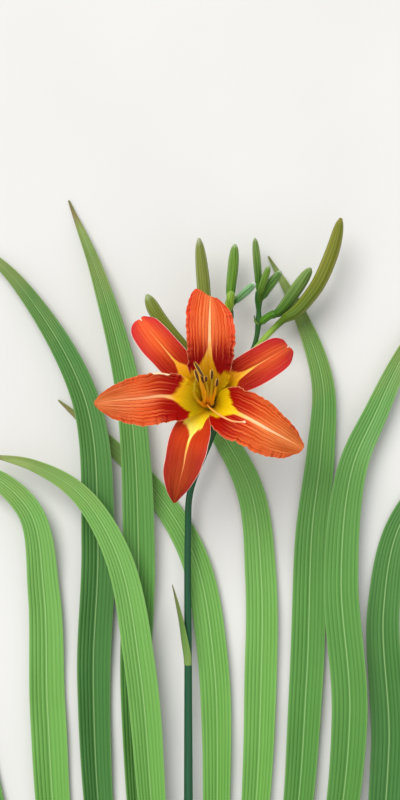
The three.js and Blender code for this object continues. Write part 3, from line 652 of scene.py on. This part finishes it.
def tepal(name, shape, grid, thickness, bulge, veins, back, face):
    """A petal or sepal from its tables. Only a petal has a seed, and only its edges are crimped."""
    radius = through([(place, out) for place, out, _ in shape["midrib"]])
    height = through([(place, up) for place, _, up in shape["midrib"]])
    heading, tip = through(shape["heading"]), through(shape["tip"])
    left, right = (through(shape["foot"] + shape[key]) for key in ("left", "right"))
    seed = shape.get("seed")
    start, end = shape.get("curl", (1, 1.1))  # past the tip, where no edge turns over

    def midrib(u):
        angle = np.radians(heading(u))
        return FLOWER + np.stack([radius(u) * np.cos(angle), radius(u) * np.sin(angle), height(u)], -1)

    def place(u, v):
        angle = np.radians(heading(u))
        forward = unit(midrib(np.minimum(u + 0.002, 1)) - midrib(np.maximum(u - 0.002, 0)))
        towards = np.stack([-np.cos(angle), -np.sin(angle), 0.7 + 4 * u], -1)
        side = unit(np.cross(forward, towards))
        inner = np.cross(side, forward)
        half = np.where(v < 0, left(u), right(u))
        lift = bulge * bulges(v, veins) * smooth(u, 0.15, 0.4) * smooth(1 - u, 0, 0.1)
        lift = lift - CHANNEL * np.exp(-(v / 0.09) ** 2) * smooth(u, 0.25, 0.45) * (1 - 0.6 * u)
        if seed:  # the edge runs up and down, and in and out a little too
            lift = lift + crimp(u, v, seed)
            jag = np.sin(61 * u + 4 * np.sign(v) + seed) + 0.8 * np.sin(139 * u + 9 * np.sign(v))
            half = half * (1 + 0.014 * smooth(u, 0.3, 0.5) * jag)

        # from start to end the right edge turns over and shows its back
        curl = smooth(u, start, start + 0.02) * (1 - smooth(u, end - 0.02, end))
        over_edge = curl * np.clip((v - 0.84) / 0.16, 0, 1) ** 2
        lift = lift + TURNED_OVER * over_edge

        # the sheet is rolled round the midrib, tightly near the tube
        roll = radius(u) + 0.03 * radius(u) ** 2 * smooth(u, 0, 0.2)
        turn = half * v * (1 + 0.07 * curl * smooth(v, 0.3, 0.9) - 0.17 * over_edge) / roll
        drawn = tip(v) * smooth(u, 0.85, 1)
        arm = (roll - lift)[:, None]
        return (midrib(u) + drawn[:, None] * forward + arm * np.sin(turn)[:, None] * side
                + (roll[:, None] - arm * np.cos(turn)[:, None]) * inner)

    piece = laid_grid(name + "_sheet", *grid, place)
    thicken(piece, thickness, back, face)
    return piece


PALE_BACK = dict(fibre=(3.0, 40.0), wax=0.0, rough=(0.5, 0.7), depth=0.2, shade=0.4, glow=0.35)
petal_back = fibrous_skin(
    "petal_back_pale_tissue",
    along=[(0, "#c4bc3c"), (0.3, "#dcb040"), (0.5, "#e4944c"), (0.8, "#e8804c"), (1, "#e07848")],
    dark="#cc5c34", ribs=PETAL_TISSUE["veins"], **PALE_BACK,
    bands=[("#dcc070", [(0, 0.7), (0.05, 0.4), (0.09, 0), (1, 0)]),
           # the pale cream band along the edges is a painted highlight, seen where an edge turns over
           ("#ffdcb8", [(0, 0), (0.88, 0), (0.95, 0.8), (1, 0.9)])])
sepal_back = fibrous_skin(
    "sepal_back_pale_tissue",
    along=[(0, "#b4b83c"), (0.3, "#ccb048"), (0.5, "#dc8c50"), (0.8, "#dc6e4c"), (1, "#d45c44")],
    dark="#c05034", ribs=SEPAL_TISSUE["veins"], **PALE_BACK,
    bands=[("#b8b860", [(0, 0.7), (0.06, 0.5), (0.12, 0), (1, 0)])])
for name, shape in PETALS.items():
    petal_face = tepal_skin(f"{name}_satin_tissue", **{**PETAL_TISSUE, **OWN_COLOURS[name]})
    petal = tepal(name, shape, grid=(200, 120), thickness=0.45, bulge=0.13, veins=PETAL_TISSUE["veins"],
                  back=petal_back, face=petal_face)
    keep(petal, name)
for name, shape in SEPALS.items():
    sepal_face = tepal_skin(f"{name}_smooth_tissue", **{**SEPAL_TISSUE, **OWN_COLOURS[name]})
    sepal = tepal(name, shape, grid=(120, 72), thickness=0.5, bulge=0.06, veins=SEPAL_TISSUE["veins"],
                  back=sepal_back, face=sepal_face)
    keep(sepal, name)

# %% [markdown]
# ## The tube under the flower
#
# The petals grow from a tube, which narrows to the short stem that holds the flower on the stalk.
# Six shallow grooves show where the six petals have grown together. A circle extruded along a
# path would do, and the grooves come from a section that dips six times round the ring.

# %% Tube
tube_skin = fibrous_skin(
    "flower_tube_waxy_green",
    along=[(0.05, "#5f8a35"), (0.4, "#8fa044"), (0.7, "#b4b03c"), (0.88, "#b8b83c"), (1, "#bcb83c")],
    dark="#8d962c", ribs=12, wax=0.2)
tube_radius = through([(0, 1.7), (0.2, 1.8), (0.36, 2.5), (0.6, 2.9), (0.85, 3.6), (1, 4.5)])
TUBE = [(20, 474.6, 9.2), (17.8, 475.9, 16), (14.2, 478, 26), (12.5, 478.9, 33.5), (12.5, 478.9, 39)]
tube_piece = tube("flower_tube_grooved", TUBE, tube_radius, 48, 48, up=(0, 1, 0),
                  section=lambda turn, share: 1 + 0.03 * np.cos(6 * turn) * smooth(share, 0.25, 0.5))
keep(tube_piece, "flower_tube", tube_skin)

# %% [markdown]
# ## Stamens
#
# Six orange filaments stand in the throat, and each carries an anther: two dark pollen sacs side by
# side, split along their inner edges, where a gold band of pollen shows. A tube with a two-lobed
# section gives the pair of sacs, and its UV map places the bands.

# %% Stamens
STAMENS = [
    dict(foot=195, path=[(-3.3, -0.4, 9), (-2.7, 4.9, 26), (-3.9, 9, 33)],
         anther=(-4.7, 12.8, 38), lean=(-3, 7, 5), length=7),
    dict(foot=150, path=[(-2.4, 0.7, 9), (-4.3, 6.3, 29), (-5.4, 11.3, 44)],
         anther=(-6.2, 16.9, 51), lean=(-4.5, 7.6, 2.5), length=9),
    dict(foot=100, path=[(-1.2, 0.5, 9), (-1.5, 6.6, 28), (-2.2, 9.8, 36)],
         anther=(-2.6, 12.3, 42), lean=(0, 2.6, 6.5), length=7),
    dict(foot=50, path=[(0, 0.3, 9), (0.4, 5.6, 26), (0.9, 11, 36)],
         anther=(0.5, 14.4, 44), lean=(0, 4.8, 5), length=7),
    dict(foot=-10, path=[(0.8, -0.7, 9), (2, 3.8, 20), (2.7, 7.2, 31)],
         anther=(3.2, 10.3, 38), lean=(0.6, 4, 5.5), length=6.8),
    dict(foot=245, path=[(-3.1, -1.9, 9), (-4.6, -1, 14), (-6.6, 0.8, 21), (-8.6, 4.8, 29), (-8.3, 8.4, 35)],
         anther=(-7.2, 13.7, 42), lean=(-2.1, 6.1, 4), length=7.6),
]
FOOT_RING = 1.75  # how far from the flower's axis the filaments stand
HELD = (0, 0, -0.75)  # where a filament meets its anther, from the anther's middle
BOW = (0, 0, 0.35)  # how far an anther arches
GREENISH = (2, 3, 5)  # filaments that fade to green, counted from 0

# %% Lay the stamens
FILAMENT = dict(fibre=(4.0, 6.0), wax=0.2, rough=(0.35, 0.5), depth=0.03, shade=0.35, glow=0.3)
filament_skin = fibrous_skin(
    "filament_orange_tissue",
    along=[(0, "#ffc01c"), (0.35, "#ffbc1c"), (0.7, "#ffbe24"), (1, "#e8a01a")],
    dark="#f0a010", **FILAMENT)
green_filament_skin = fibrous_skin(
    "filament_greenish_tissue",
    along=[(0, "#ffb41c"), (0.38, "#ffb01c"), (0.52, "#dcb420"), (0.75, "#c8b424"), (1, "#b89418")],
    dark="#b49c18", **FILAMENT)
anther_skin = fibrous_skin(
    "anther_pollen_velvet",
    along=[(0, "#6c3c10"), (0.5, "#54300c"), (1, "#603810")],
    dark="#2a1404", fibre=(30.0, 30.0), wax=0.0, rough=(0.75, 0.95), depth=0.12, shade=0.6,
    bands=[("#e8b448", [(0, 0), (0.2, 0), (0.28, 0.95), (0.5, 0.95), (0.6, 0.3), (1, 0.2)]),
           ("#8a6450", [(0, 0.5), (0.05, 0.3), (0.09, 0), (1, 0)])])
filament_radius = through([(0, 0.7), (0.12, 1.15), (0.25, 1.2), (0.4, 0.95), (0.6, 0.72), (0.8, 0.6),
                           (1, 0.38)])
anther_radius = through([(0, 0.25), (0.08, 0.68), (0.5, 0.98), (0.9, 0.74), (1, 0.25)])

for i, stamen in enumerate(STAMENS):
    foot = math.radians(stamen["foot"])
    ring = (FOOT_RING * math.cos(foot), FOOT_RING * math.sin(foot))
    middle = FLOWER + stamen["anther"]
    points = [FLOWER + p for p in ((*ring, 0.3), (*ring, 3), *stamen["path"])] + [middle + HELD]
    stalked = tube(f"filament_{i + 1}_stalk", points, filament_radius, 40, 10, up=(1, 0, 0))
    keep(stalked, f"filament_{i + 1}", green_filament_skin if i in GREENISH else filament_skin)
    half = unit(np.array(stamen["lean"], float)) * stamen["length"] / 2
    sacs = tube(f"anther_{i + 1}_sacs", [middle - half, middle + BOW, middle + half], anther_radius, 36, 24,
                up=(0.3, -0.4, 1), section=lambda turn, share: 0.82 + 0.28 * np.abs(np.sin(turn)) ** 0.7)
    keep(sacs, f"anther_{i + 1}", anther_skin)

# %% [markdown]
# ## Pistil
#
# The style is longer than the stamens and curves out over the lower right petal. It ends in a
# small pale stigma, which is a knob of three joined lobes. A thin tube that swells at its end
# gives both in one piece, as they grow.

# %% Pistil
pistil_skin = fibrous_skin(
    "style_peach_tissue",
    along=[(0.1, "#f7b41c"), (0.4, "#fbc34c"), (0.6, "#fcb670"), (0.93, "#fcb680"), (1, "#ffe2bc")],
    dark="#f0a060", fibre=(4.0, 5.0), wax=0.3, rough=(0.28, 0.4), depth=0.02, shade=0.3)
STYLE = [(0, -0.2, 0.3), (-0.7, -0.5, 5), (-1.5, -1.1, 11), (-0.8, -2.6, 16), (1.7, -4.6, 25),
         (6.7, -7.9, 40), (11.8, -9.9, 50), (17.5, -10.1, 60)]
style_radius = through([(0, 0.6), (0.5, 0.52), (0.94, 0.45), (0.975, 0.55), (0.988, 0.7), (1, 0.35)])
style = tube("pistil_style", [FLOWER + p for p in STYLE], style_radius, 90, 14, up=(0, 1, 0),
             section=lambda turn, share: 1 + 0.15 * np.cos(3 * turn) * smooth(share, 0.96, 0.98))
keep(style, "pistil", pistil_skin)

# %% [markdown]
# ## Buds
#
# A daylily's bud is a long closed case: three sepals meet edge to edge, so its section is a soft
# triangle with three seams, and each sepal has a raised keel with fine ribs beside it. It sits on
# a round green pedicel. A tube along the bud's bent axis gives the outline, and a three-sided
# section that starts where the pedicel ends gives keels and seams.

# %% Buds
BUDS = [
    dict(path=[(20.6, 481.7, 9.5), (9.8, 496.5, 17), (-1.1, 511, 21), (-8.3, 518.5, 22.5), (-17.1, 528.1, 24),
               (-22.7, 538.7, 25)],
         radius=3.7, pedicel=1.5, neck=0.5, tint="dull", slim=True),
    dict(path=[(21.9, 494.5, 11.3), (14.9, 510.9, 16), (10.6, 524.8, 18), (8.7, 547.1, 20), (6.4, 570.3, 22)],
         radius=3.7, pedicel=1.3, neck=0.12, tint="olive"),
    dict(path=[(24.1, 532.5, 15), (24.2, 540.3, 14), (25.6, 554.4, 13), (26.7, 567.8, 14)],
         radius=3, pedicel=1, neck=0.12, tint="fresh"),
    dict(path=[(24.4, 528, 14.2), (24.9, 532, 17), (27.2, 535.4, 19), (32, 539.9, 21), (37.9, 545.2, 23)],
         radius=2.2, pedicel=0.9, neck=0.35, tint="blue"),
    dict(path=[(40.2, 534.4, 8.8), (42.2, 538, 12), (46.2, 544.4, 15.5), (52.4, 552.3, 18)],
         radius=2.6, pedicel=1.2, neck=0.2, tint="striped"),
    dict(path=[(40.2, 523, 8), (46, 527.4, 11), (51.5, 529.6, 13), (60.4, 541.2, 16), (69.2, 554, 18)],
         radius=3.5, pedicel=2.1, neck=0.25, tint="green"),
    dict(path=[(33.9, 502.9, 8), (42.2, 513.4, 12), (48.2, 519.8, 15), (54.6, 525.7, 17), (60.8, 529.4, 18),
               (67.6, 537, 19), (73.4, 545.4, 20), (81.3, 563.9, 20), (85.8, 581.7, 20)],
         radius=4, pedicel=1.7, neck=0.31, tint="ripe"),
    dict(path=[(40.2, 536.5, 9), (40, 547.8, 11), (39.2, 557.9, 12), (38, 571.4, 12)],
         radius=2.2, pedicel=1, neck=0.15, tint="green"),
    dict(path=[(40.2, 534.8, 8.8), (40.8, 540, 15), (43, 547.3, 19.5), (45.6, 554.9, 22)],
         radius=2, pedicel=0.9, neck=0.3, tint="fresh"),
    dict(path=[(24.4, 524, 13.9), (23.1, 528.5, 18.5), (23.6, 534.4, 22.5), (24.6, 540.6, 24)],
         radius=2.4, pedicel=1, neck=0.4, tint="young", lumps=0.14),
]
# colours of pedicel, shoulder, body and tip, the dark between ribs and its share, the seams' colour,
# and how many ribs go round
BUD_TINTS = {
    "olive": ("#78a83c", "#6c8430", "#848c38", "#dce4cc", "#4c5a1c", 0.65, "#b4bc80", 15),
    "dull": ("#6e6a10", "#78741a", "#7e8a2e", "#dcecc0", "#4c5818", 0.7, "#a8b468", 15),
    "fresh": ("#5a981c", "#64901c", "#6e942e", "#c4d4a4", "#3c5c14", 0.65, "#a8bc80", 9),
    "green": ("#5a981c", "#447a1c", "#70903c", "#b4c48c", "#2c400c", 0.8, "#a8bc78", 9),
    # the near-white tips and seams of striped and blue are partly the buds' own pale stripes and partly
    # painted highlight
    "striped": ("#5c8c24", "#4c7c24", "#608a34", "#f0f8e0", "#102808", 0.9, "#d4e0b4", 6),
    "blue": ("#5c8420", "#5c8c34", "#7cb070", "#f4f8f0", "#0c3418", 0.95, "#dcecdc", 6),
    "ripe": ("#b0dc5c", "#4c7408", "#767a0a", "#b8a458", "#50580c", 0.6, "#aca44c", 12),
    "young": ("#7fae3c", "#98a41c", "#80a428", "#b0c868", "#5c7c1c", 0.6, "#c4cc6c", 6),
}
PEDICEL_FOOT = "#2c5c2c"  # the stalk's colour
bud_skins = {}
for tint, (pedicel, shoulder, body, tip, dark, share, seams, ribs) in BUD_TINTS.items():
    bud_skins[tint] = fibrous_skin(
        f"bud_waxy_{tint}",
        along=[(0.01, PEDICEL_FOOT), (0.07, pedicel), (0.2, pedicel), (0.3, shoulder), (0.7, body),
               (0.93, body), (1, tip)],
        dark=dark, ribs=ribs, fibre=(2.0, 24.0), wax=0.12, rough=(0.4, 0.55), depth=0.25, shade=0.45,
        line=share, seams=seams)

# %% Lay the buds
bud_outline = through([(0, 0.5), (0.04, 0.68), (0.12, 0.83), (0.3, 0.95), (0.5, 1), (0.7, 0.97), (0.86, 0.8),
                       (0.95, 0.55), (1, 0.2)])
slim_outline = through([(0, 0.42), (0.12, 0.47), (0.33, 0.63), (0.5, 0.84), (0.66, 1), (0.8, 0.97),
                        (0.93, 0.65), (1, 0.2)])

for i, bud in enumerate(BUDS):
    neck, radius, pedicel = bud["neck"], bud["radius"], bud["pedicel"]
    swell = slim_outline if bud.get("slim") else bud_outline
    lumps = bud.get("lumps", 0)

    def outline(share):
        flare = 0.6 + 0.4 * smooth(share, 0, 0.08) + 0.15 * smooth(share, neck - 0.06, neck)
        body = radius * swell((share - neck) / (1 - neck))
        no_thinner = pedicel * (1 - smooth(share, 0.8, 1))
        return np.where(share < neck, pedicel * flare, np.maximum(body, no_thinner))

    def three_sided(turn, share):
        keels = 0.05 * np.cos(3 * turn)
        seams = 0.06 * np.exp(-(np.cos(1.5 * turn) / 0.12) ** 2)
        fine_ribs = 0.02 * np.abs(np.sin(7.5 * turn))
        uneven = lumps * np.sin(19 * share + 2 * turn)
        return 1 + smooth(share, neck, neck + 0.1) * (keels - seams + fine_ribs + uneven)

    case = tube(f"bud_{i + 1}_case", bud["path"], outline, 100, 72, section=three_sided)
    keep(case, f"bud_{i + 1}", bud_skins[bud["tint"]])

# %% [markdown]
# ## Stalk
#
# The scape is a smooth round stalk, thick at its foot, that forks below the flower. At each fork it
# swells a little. The branch is a second tube. A boolean union joins the two, so that no face
# is left inside.

# %% Stalk
STALK = [(0, 0.3, 11.2), (0, 60, 11.2), (0, 130, 11), (0.4, 220, 9.4), (0.3, 320, 8.2), (0.2, 404.6, 8),
         (1.5, 428, 8), (12.1, 455.6, 8), (21.2, 477.2, 8), (29.7, 494.2, 8), (38.1, 511.7, 8),
         (40.2, 524.8, 8), (40.2, 534, 8.6), (40.4, 541.5, 9.6)]
BRANCH = [(19.8, 474.2, 8), (20.8, 482.5, 9.6), (21.7, 491.3, 11), (23.3, 511, 13), (24.4, 526.2, 14),
          (24.1, 533.5, 15)]
stalk_radius = through([(0, 3.6), (0.25, 3.1), (0.55, 2.3), (0.73, 1.9), (0.86, 1.9), (0.885, 2.2),
                        (0.91, 1.6), (0.955, 1.4), (0.97, 1.8), (0.98, 1.4), (0.992, 2.3), (1, 2)])
branch_radius = through([(0, 1.7), (0.15, 1.4), (0.8, 1.3), (0.9, 1.6), (1, 1.1)])
stalk_skin = fibrous_skin(
    "scape_waxy_green",
    along=[(0, "#b9c98e"), (0.06, "#6f9a50"), (0.3, "#2c6040"), (0.75, "#1c5434"), (0.9, "#1e4a18"),
           (1, "#34701c")],
    dark="#143420", ribs=0, fibre=(14.0, 22.0), wax=0.15, rough=(0.35, 0.55), depth=0.12, shade=0.5)
stem = tube("scape_stem", STALK, stalk_radius, 260, 24)
fork = tube("scape_fork", BRANCH, branch_radius, 60, 20)
bpy.ops.object.select_all(action="DESELECT")
bpy.context.view_layer.objects.active = stem
stem.select_set(True)
union = stem.modifiers.new("graft", "BOOLEAN")
union.operation, union.object, union.solver = "UNION", fork, "EXACT"
bpy.ops.object.modifier_apply(modifier=union.name)
bpy.data.objects.remove(fork)
keep(stem, "scape", stalk_skin)

# %% [markdown]
# ## Bracts
#
# Where a bud or branch leaves the stalk, a small leafy scale clasps it. Each is a short sheet that
# wraps the stalk at its foot and opens to a dry pointed tip.

# %% Bracts
bract_skin = fibrous_skin(
    "bract_papery_green",
    along=[(0, "#8aa858"), (0.4, "#6f9444"), (0.8, "#8a9450"), (1, "#a8925c")],
    dark="#4f7030", ribs=9, fibre=(2.0, 30.0), wax=0.1, rough=(0.5, 0.7), depth=0.15)
STEMS = {"stalk": (STALK, stalk_radius), "branch": (BRANCH, branch_radius)}
# stem, place on it (0 to 1), side of it in degrees, the radius that the scale opens to round it, its
# length, and how far off its tip is
BRACTS = [
    ("stalk", 0.6, 150, 3.05, 46, 7),
    ("stalk", 0.83, 200, 2.75, 20, 4),
    ("stalk", 0.905, -30, 2.55, 13, 3),
    ("stalk", 0.966, 190, 2.4, 5, 0.4),
    ("branch", 0.66, 200, 2.25, 12, 3),
]
for i, (stem_name, start, side_angle, clasp, length, off) in enumerate(BRACTS):
    points, stem_outline = STEMS[stem_name]
    line, _ = path_through(points)
    foot, along = line(np.array([start]))[0], heading_of(line, np.array([start]))[0]
    level = unit(np.cross(along, (0, 0, 1)))
    angle = math.radians(side_angle)
    out = math.cos(angle) * level + math.sin(angle) * np.cross(level, along)
    grip = stem_outline(start)  # the foot has grown onto the stalk
    half_width = through([(0, clasp * 1.5), (0.3, clasp * 1.35), (0.7, clasp * 0.7), (1, 0.2)])

    def scale_leaf(u, v):
        round_stalk = grip + (clasp - grip) * smooth(u, 0, 0.35)
        stand = round_stalk + off * u ** 2
        forward = unit(length * along + 2 * off * u[:, None] * out)
        side = unit(np.cross(forward, -out))
        inner = np.cross(side, forward)
        roll = round_stalk + 4 * u
        turn = half_width(u) * v / roll
        middle = foot + length * u[:, None] * along + stand[:, None] * out
        return (middle + (roll * np.sin(turn))[:, None] * side
                + (roll * (1 - np.cos(turn)))[:, None] * inner)

    scale = laid_grid(f"bract_{i + 1}_scale", 36, 16, scale_leaf)
    thicken(scale, 0.35)
    keep(scale, f"bract_{i + 1}", bract_skin)

# %% [markdown]
# ## Leaves
#
# A daylily's leaves fold round each other at their foot, left and right in turn, each a half tube
# round the ones inside it. Further up each opens to a shallow V, twists to lie on its back, and
# arches over. Parallel veins run its whole length beside a sunken keel.
# Bending one flat strip by hand would take a lattice for each leaf. Instead the grid's rows follow
# the leaf's path, and each row blends from the folded section to the open one.

# %% Leaf skins
LEAF_VEINS = 9  # a real blade has thirty, too fine to tell apart from where the whole plant shows
# colours of a leaf's foot, middle and tip, and the dark between its veins
LEAF_TINTS = {"young": ("#86b862", "#70a84c", "#80b45c", "#569038"),
              "full": ("#6a9c4a", "#5a9040", "#6ca250", "#427a2c"),
              "shaded": ("#548842", "#457a38", "#5a8e44", "#336428")}
leaf_skins = {}
for tint, (foot, middle, tip, dark) in LEAF_TINTS.items():
    leaf_skins[tint] = fibrous_skin(
        f"leaf_blade_{tint}",
        along=[(0.0, "#e4e6bc"), (0.09, "#b5c98a"), (0.2, foot), (0.5, middle), (0.85, tip),
               (0.97, "#98a458"), (1, "#9a8050")],
        dark=dark, ribs=LEAF_VEINS, fibre=(5.0, 40.0), wax=0.2, rough=(0.4, 0.58), depth=0.3, shade=0.4,
        # a pale keel, the blade's own colour, with pale edges that are a painted highlight, and a dark band
        # beside the keel that is painted shade of the fold
        bands=[("#a8cc84", [(0, 0.6), (0.025, 0.4), (0.05, 0), (0.94, 0), (1, 0.3)]),
               (dark, [(0, 0), (0.04, 0), (0.07, 0.45), (0.16, 0), (1, 0)])])

# %% The leaves' paths
# half width at its broadest, tint, and path once it has left the bundle. They come in pairs, left
# and then right, and each pair folds round the last one
LEAVES = [
    (9.5, "young", [
        (-17, 190, 9), (-21, 260, 11), (-27, 330, 14), (-39, 392, 17), (-60, 427, 18), (-86, 443, 16),
        (-113, 449, 12)]),
    (9.5, "young", [
        (15, 180, 5), (17, 250, 0), (15, 330, 0), (4, 390, 0), (-20, 430, 0), (-48, 458, 0),
        (-74, 480, 0)]),
    (10, "full", [
        (-18, 160, 3), (-26, 230, 0), (-30, 320, 0), (-28, 400, 7), (-33, 480, 8), (-50, 548, 6),
        (-68, 594, 0)]),
    (10, "young", [
        (20, 150, 3), (37, 230, 0), (42, 320, 0), (42, 380, 0), (36, 428, 0), (17, 464, 0), (-8, 492, 0),
        (-28, 520, 0)]),
    (10.5, "shaded", [
        (-30, 140, 0), (-48, 220, 0), (-54, 320, 0), (-51, 400, 7), (-58, 480, 8), (-96, 546, 5),
        (-128, 575, 0)]),
    (10.5, "full", [
        (34, 140, 0), (59, 220, 0), (68, 320, 0), (71, 405, 1), (76, 450, 2), (77, 490, 3), (63, 531, 4),
        (46, 562, 1)]),
    (11, "young", [
        (-46, 130, 0), (-72, 210, 0), (-80, 300, 0), (-82, 370, 3), (-90, 418, 9), (-118, 438, 9),
        (-150, 414, 0)]),
    (11, "full", [
        (50, 130, 0), (81, 210, 0), (92, 300, 7), (87, 380, 8), (93, 440, 8), (107, 473, 7),
        (124, 508, 5), (150, 548, 0)]),
    (11, "full", [
        (-60, 115, 0), (-98, 190, 0), (-122, 280, 0), (-142, 370, 2), (-172, 440, 4), (-205, 480, 0)]),
    (11, "shaded", [
        (64, 115, 0), (103, 190, 0), (115, 280, 0), (112, 360, 0), (122, 410, 0), (152, 446, 0),
        (192, 462, 0)]),
    (10.5, "shaded", [
        (-70, 92, 0), (-122, 145, 0), (-175, 195, 3), (-222, 222, 2), (-248, 228, 0)]),
    (10.5, "full", [
        (74, 90, 0), (128, 140, 0), (182, 180, 3), (222, 196, 1), (246, 196, 0)]),
]
CORE = 11.2  # height of the bundle's axis above the board
ROOM = 0.7  # what a blade takes up with the air round it
BLADE = 0.595  # a blade's thickness
WRAP = math.radians(84)  # how far round the bundle each half of a leaf's foot goes
LAID_OVER = math.radians(82)  # how far it turns to lie on its back
blade_width = through([(0, 0.85), (0.25, 0.9), (0.5, 1), (0.7, 0.88), (0.85, 0.6), (0.95, 0.28), (1, 0.03)])
blade_fold = through([(0, 42), (0.3, 34), (0.55, 22), (1, 12)])

# %% Lay the leaves
for i, (width, tint, path) in enumerate(LEAVES):
    hand = 1 if i % 2 else -1
    rank = i // 2  # how many pairs it folds round
    deep, tall = 5.5 + 2.0 * rank, 4.4 + 1.2 * rank  # its folded foot, half across and half up
    parting = 112 - 14 * rank  # how far up it leaves the bundle
    keel, under = hand * deep, CORE - tall - ROOM / 2
    line, length = path_through([(keel, 0.3, under), (keel, parting * 0.6, under),
                                 (keel + hand, parting, under), *path])

    def blade(u, v):
        gone = u * length
        free = smooth(gone, parting * 0.7, parting + 62)
        out = np.clip((gone - parting) / (length - parting), 0, 1)
        half, tilt = width * blade_width(out), np.radians(blade_fold(out))
        softened = np.sqrt(v ** 2 + 0.004) - 0.063  # a keel rounded over its middle tenth
        back = (1 - free) * deep * (1 - np.cos(WRAP * v)) + free * softened * half * np.sin(tilt)
        side = (1 - free) * tall * np.sin(WRAP * v) + free * v * half * np.cos(tilt)
        ripple = 0.5 * free * v * np.sin(gone / 9 + 2 * i) * smooth(np.abs(v), 0.3, 1)
        ripple = ripple + 0.12 * bulges(v, LEAF_VEINS) * smooth(1 - u, 0, 0.05)
        turned = LAID_OVER * smooth(gone, parting + 5, parting + 105)
        forward = unit(heading_of(line, u) * (1, 1, 0))
        inward = np.cross(forward, (0, 0, -hand))
        up = inward * np.cos(turned)[:, None] + np.outer(np.sin(turned), (0, 0, 1))
        beside = np.cross(forward, up)
        section = (back + ripple)[:, None] * up + side[:, None] * beside
        lowest = np.full(len(u), np.inf)  # of each row, so that it lies on the board or above it
        for row in np.unique(u.round(5)):
            same = np.abs(u - row) < 1e-4
            lowest[same] = section[same, 2].min() - ROOM / 2
        middle = line(u)
        middle[:, 2] = np.maximum(middle[:, 2], 0) - lowest
        return middle + section

    strap = laid_grid(f"leaf_{i + 1}_blade", 140, 54, blade)
    thicken(strap, BLADE)
    keep(strap, f"leaf_{i + 1}", leaf_skins[tint])

# %% [markdown]
# ## Crown
#
# The crown is the short stem that the leaves and the stalk grow from. A knife has gone through it,
# so its end is flat, moist and pale, and shows the foot of each leaf as a ring round the core. A
# cylinder is added at its size. Its rims are rounded by a bevel. Then each end is inset ring after
# ring, each smaller by a tenth, and every second ring lies a little deeper.

# %% Crown
SHRINK = 0.9  # each ring's size beside the last one's
RINGS = 10
STEP = 0.4 * MM  # how deep every second ring lies
bpy.ops.object.select_all(action="DESELECT")
crown_size = tuple((crown_high - crown_low) * MM)
crown_middle = tuple((crown_high + crown_low) / 2 * MM)
bpy.ops.mesh.primitive_cylinder_add(vertices=96, radius=0.5, depth=1, end_fill_type="NGON",
                                    location=(0, 0, 0), rotation=(math.pi / 2, 0, 0))
crown = bpy.context.object
crown.name = crown.data.name = "crown_slice"
bpy.ops.object.transform_apply(location=False, rotation=True, scale=False)
bpy.ops.object.mode_set(mode="EDIT")
bpy.ops.mesh.select_all(action="SELECT")
bpy.ops.transform.resize(value=crown_size, center_override=(0, 0, 0))
bpy.ops.transform.translate(value=crown_middle)


def select_only(mode, elements, wanted):
    """In edit mode, selects the edges or faces for which wanted is true, and nothing else."""
    bpy.ops.mesh.select_mode(type=mode)
    bpy.ops.mesh.select_all(action="DESELECT")
    bpy.ops.object.mode_set(mode="OBJECT")
    for element in elements:
        element.select = bool(wanted(element))
    bpy.ops.object.mode_set(mode="EDIT")


def on_a_rim(edge):
    a, b = (crown.data.vertices[k].co for k in edge.vertices)
    return abs(a.y - b.y) < 1e-6


select_only("EDGE", crown.data.edges, on_a_rim)
bpy.ops.mesh.bevel(offset=0.7 * MM, segments=3)
for end in (-1, 1):
    select_only("FACE", crown.data.polygons,
                lambda face: len(face.vertices) > 50 and face.normal.y * end > 0)
    for ring in range(RINGS):
        bpy.ops.mesh.inset(thickness=0.02 * MM)
        bpy.ops.transform.resize(value=(SHRINK, 1, SHRINK), center_override=crown_middle)
        bpy.ops.transform.translate(value=(0, end * (STEP if ring % 2 else -STEP), 0))
bpy.ops.object.mode_set(mode="OBJECT")

# %% Cut tissue, pale with a greenish line between two leaf feet, and its core
crown_skin = new_skin("crown_cut_tissue", 0.3)
where = add(crown_skin, "TexCoord", {}).outputs["Object"]
spread = [2 / crown_size[0], 0, 2 / crown_size[2]]
centred = add(crown_skin, "Mapping", {
    "Vector": where, "Scale": spread, "Location": [-m * s for m, s in zip(crown_middle, spread)]})
off_core = add(crown_skin, "VectorMath", {0: centred}, operation="LENGTH").outputs["Value"]
rings = maths(crown_skin, "LOGARITHM", off_core, SHRINK)  # one more for each inset
rings = maths(crown_skin, "SINE", times(crown_skin, rings, math.pi))
layers = noise(crown_skin, where, 500.0, 3.0)
patches = noise(crown_skin, where, 90.0, 2.0)
tissue = ramp(crown_skin, patches, [(0.3, "#efe9c8"), (0.5, "#e4e0b4"), (0.65, "#cec98e"), (0.8, "#a89460")])
tissue = over(crown_skin, tissue, fitted(crown_skin, rings, 0.1, 0.9, high=0.55), "#a9b068")
bruise = fitted(crown_skin, layers, 0.55, 0.75, high=0.4)
tissue = over(crown_skin, tissue, bruise, "#b09a68")
core = fitted(crown_skin, off_core, 0.3, 0.36, low=0.6, high=0.0)
tissue = over(crown_skin, tissue, core, "#9cb070")
damp = fitted(crown_skin, layers, low=0.35, high=0.7)
keep(crown, "crown", cover(crown_skin, tissue, damp, layers, 0.2))
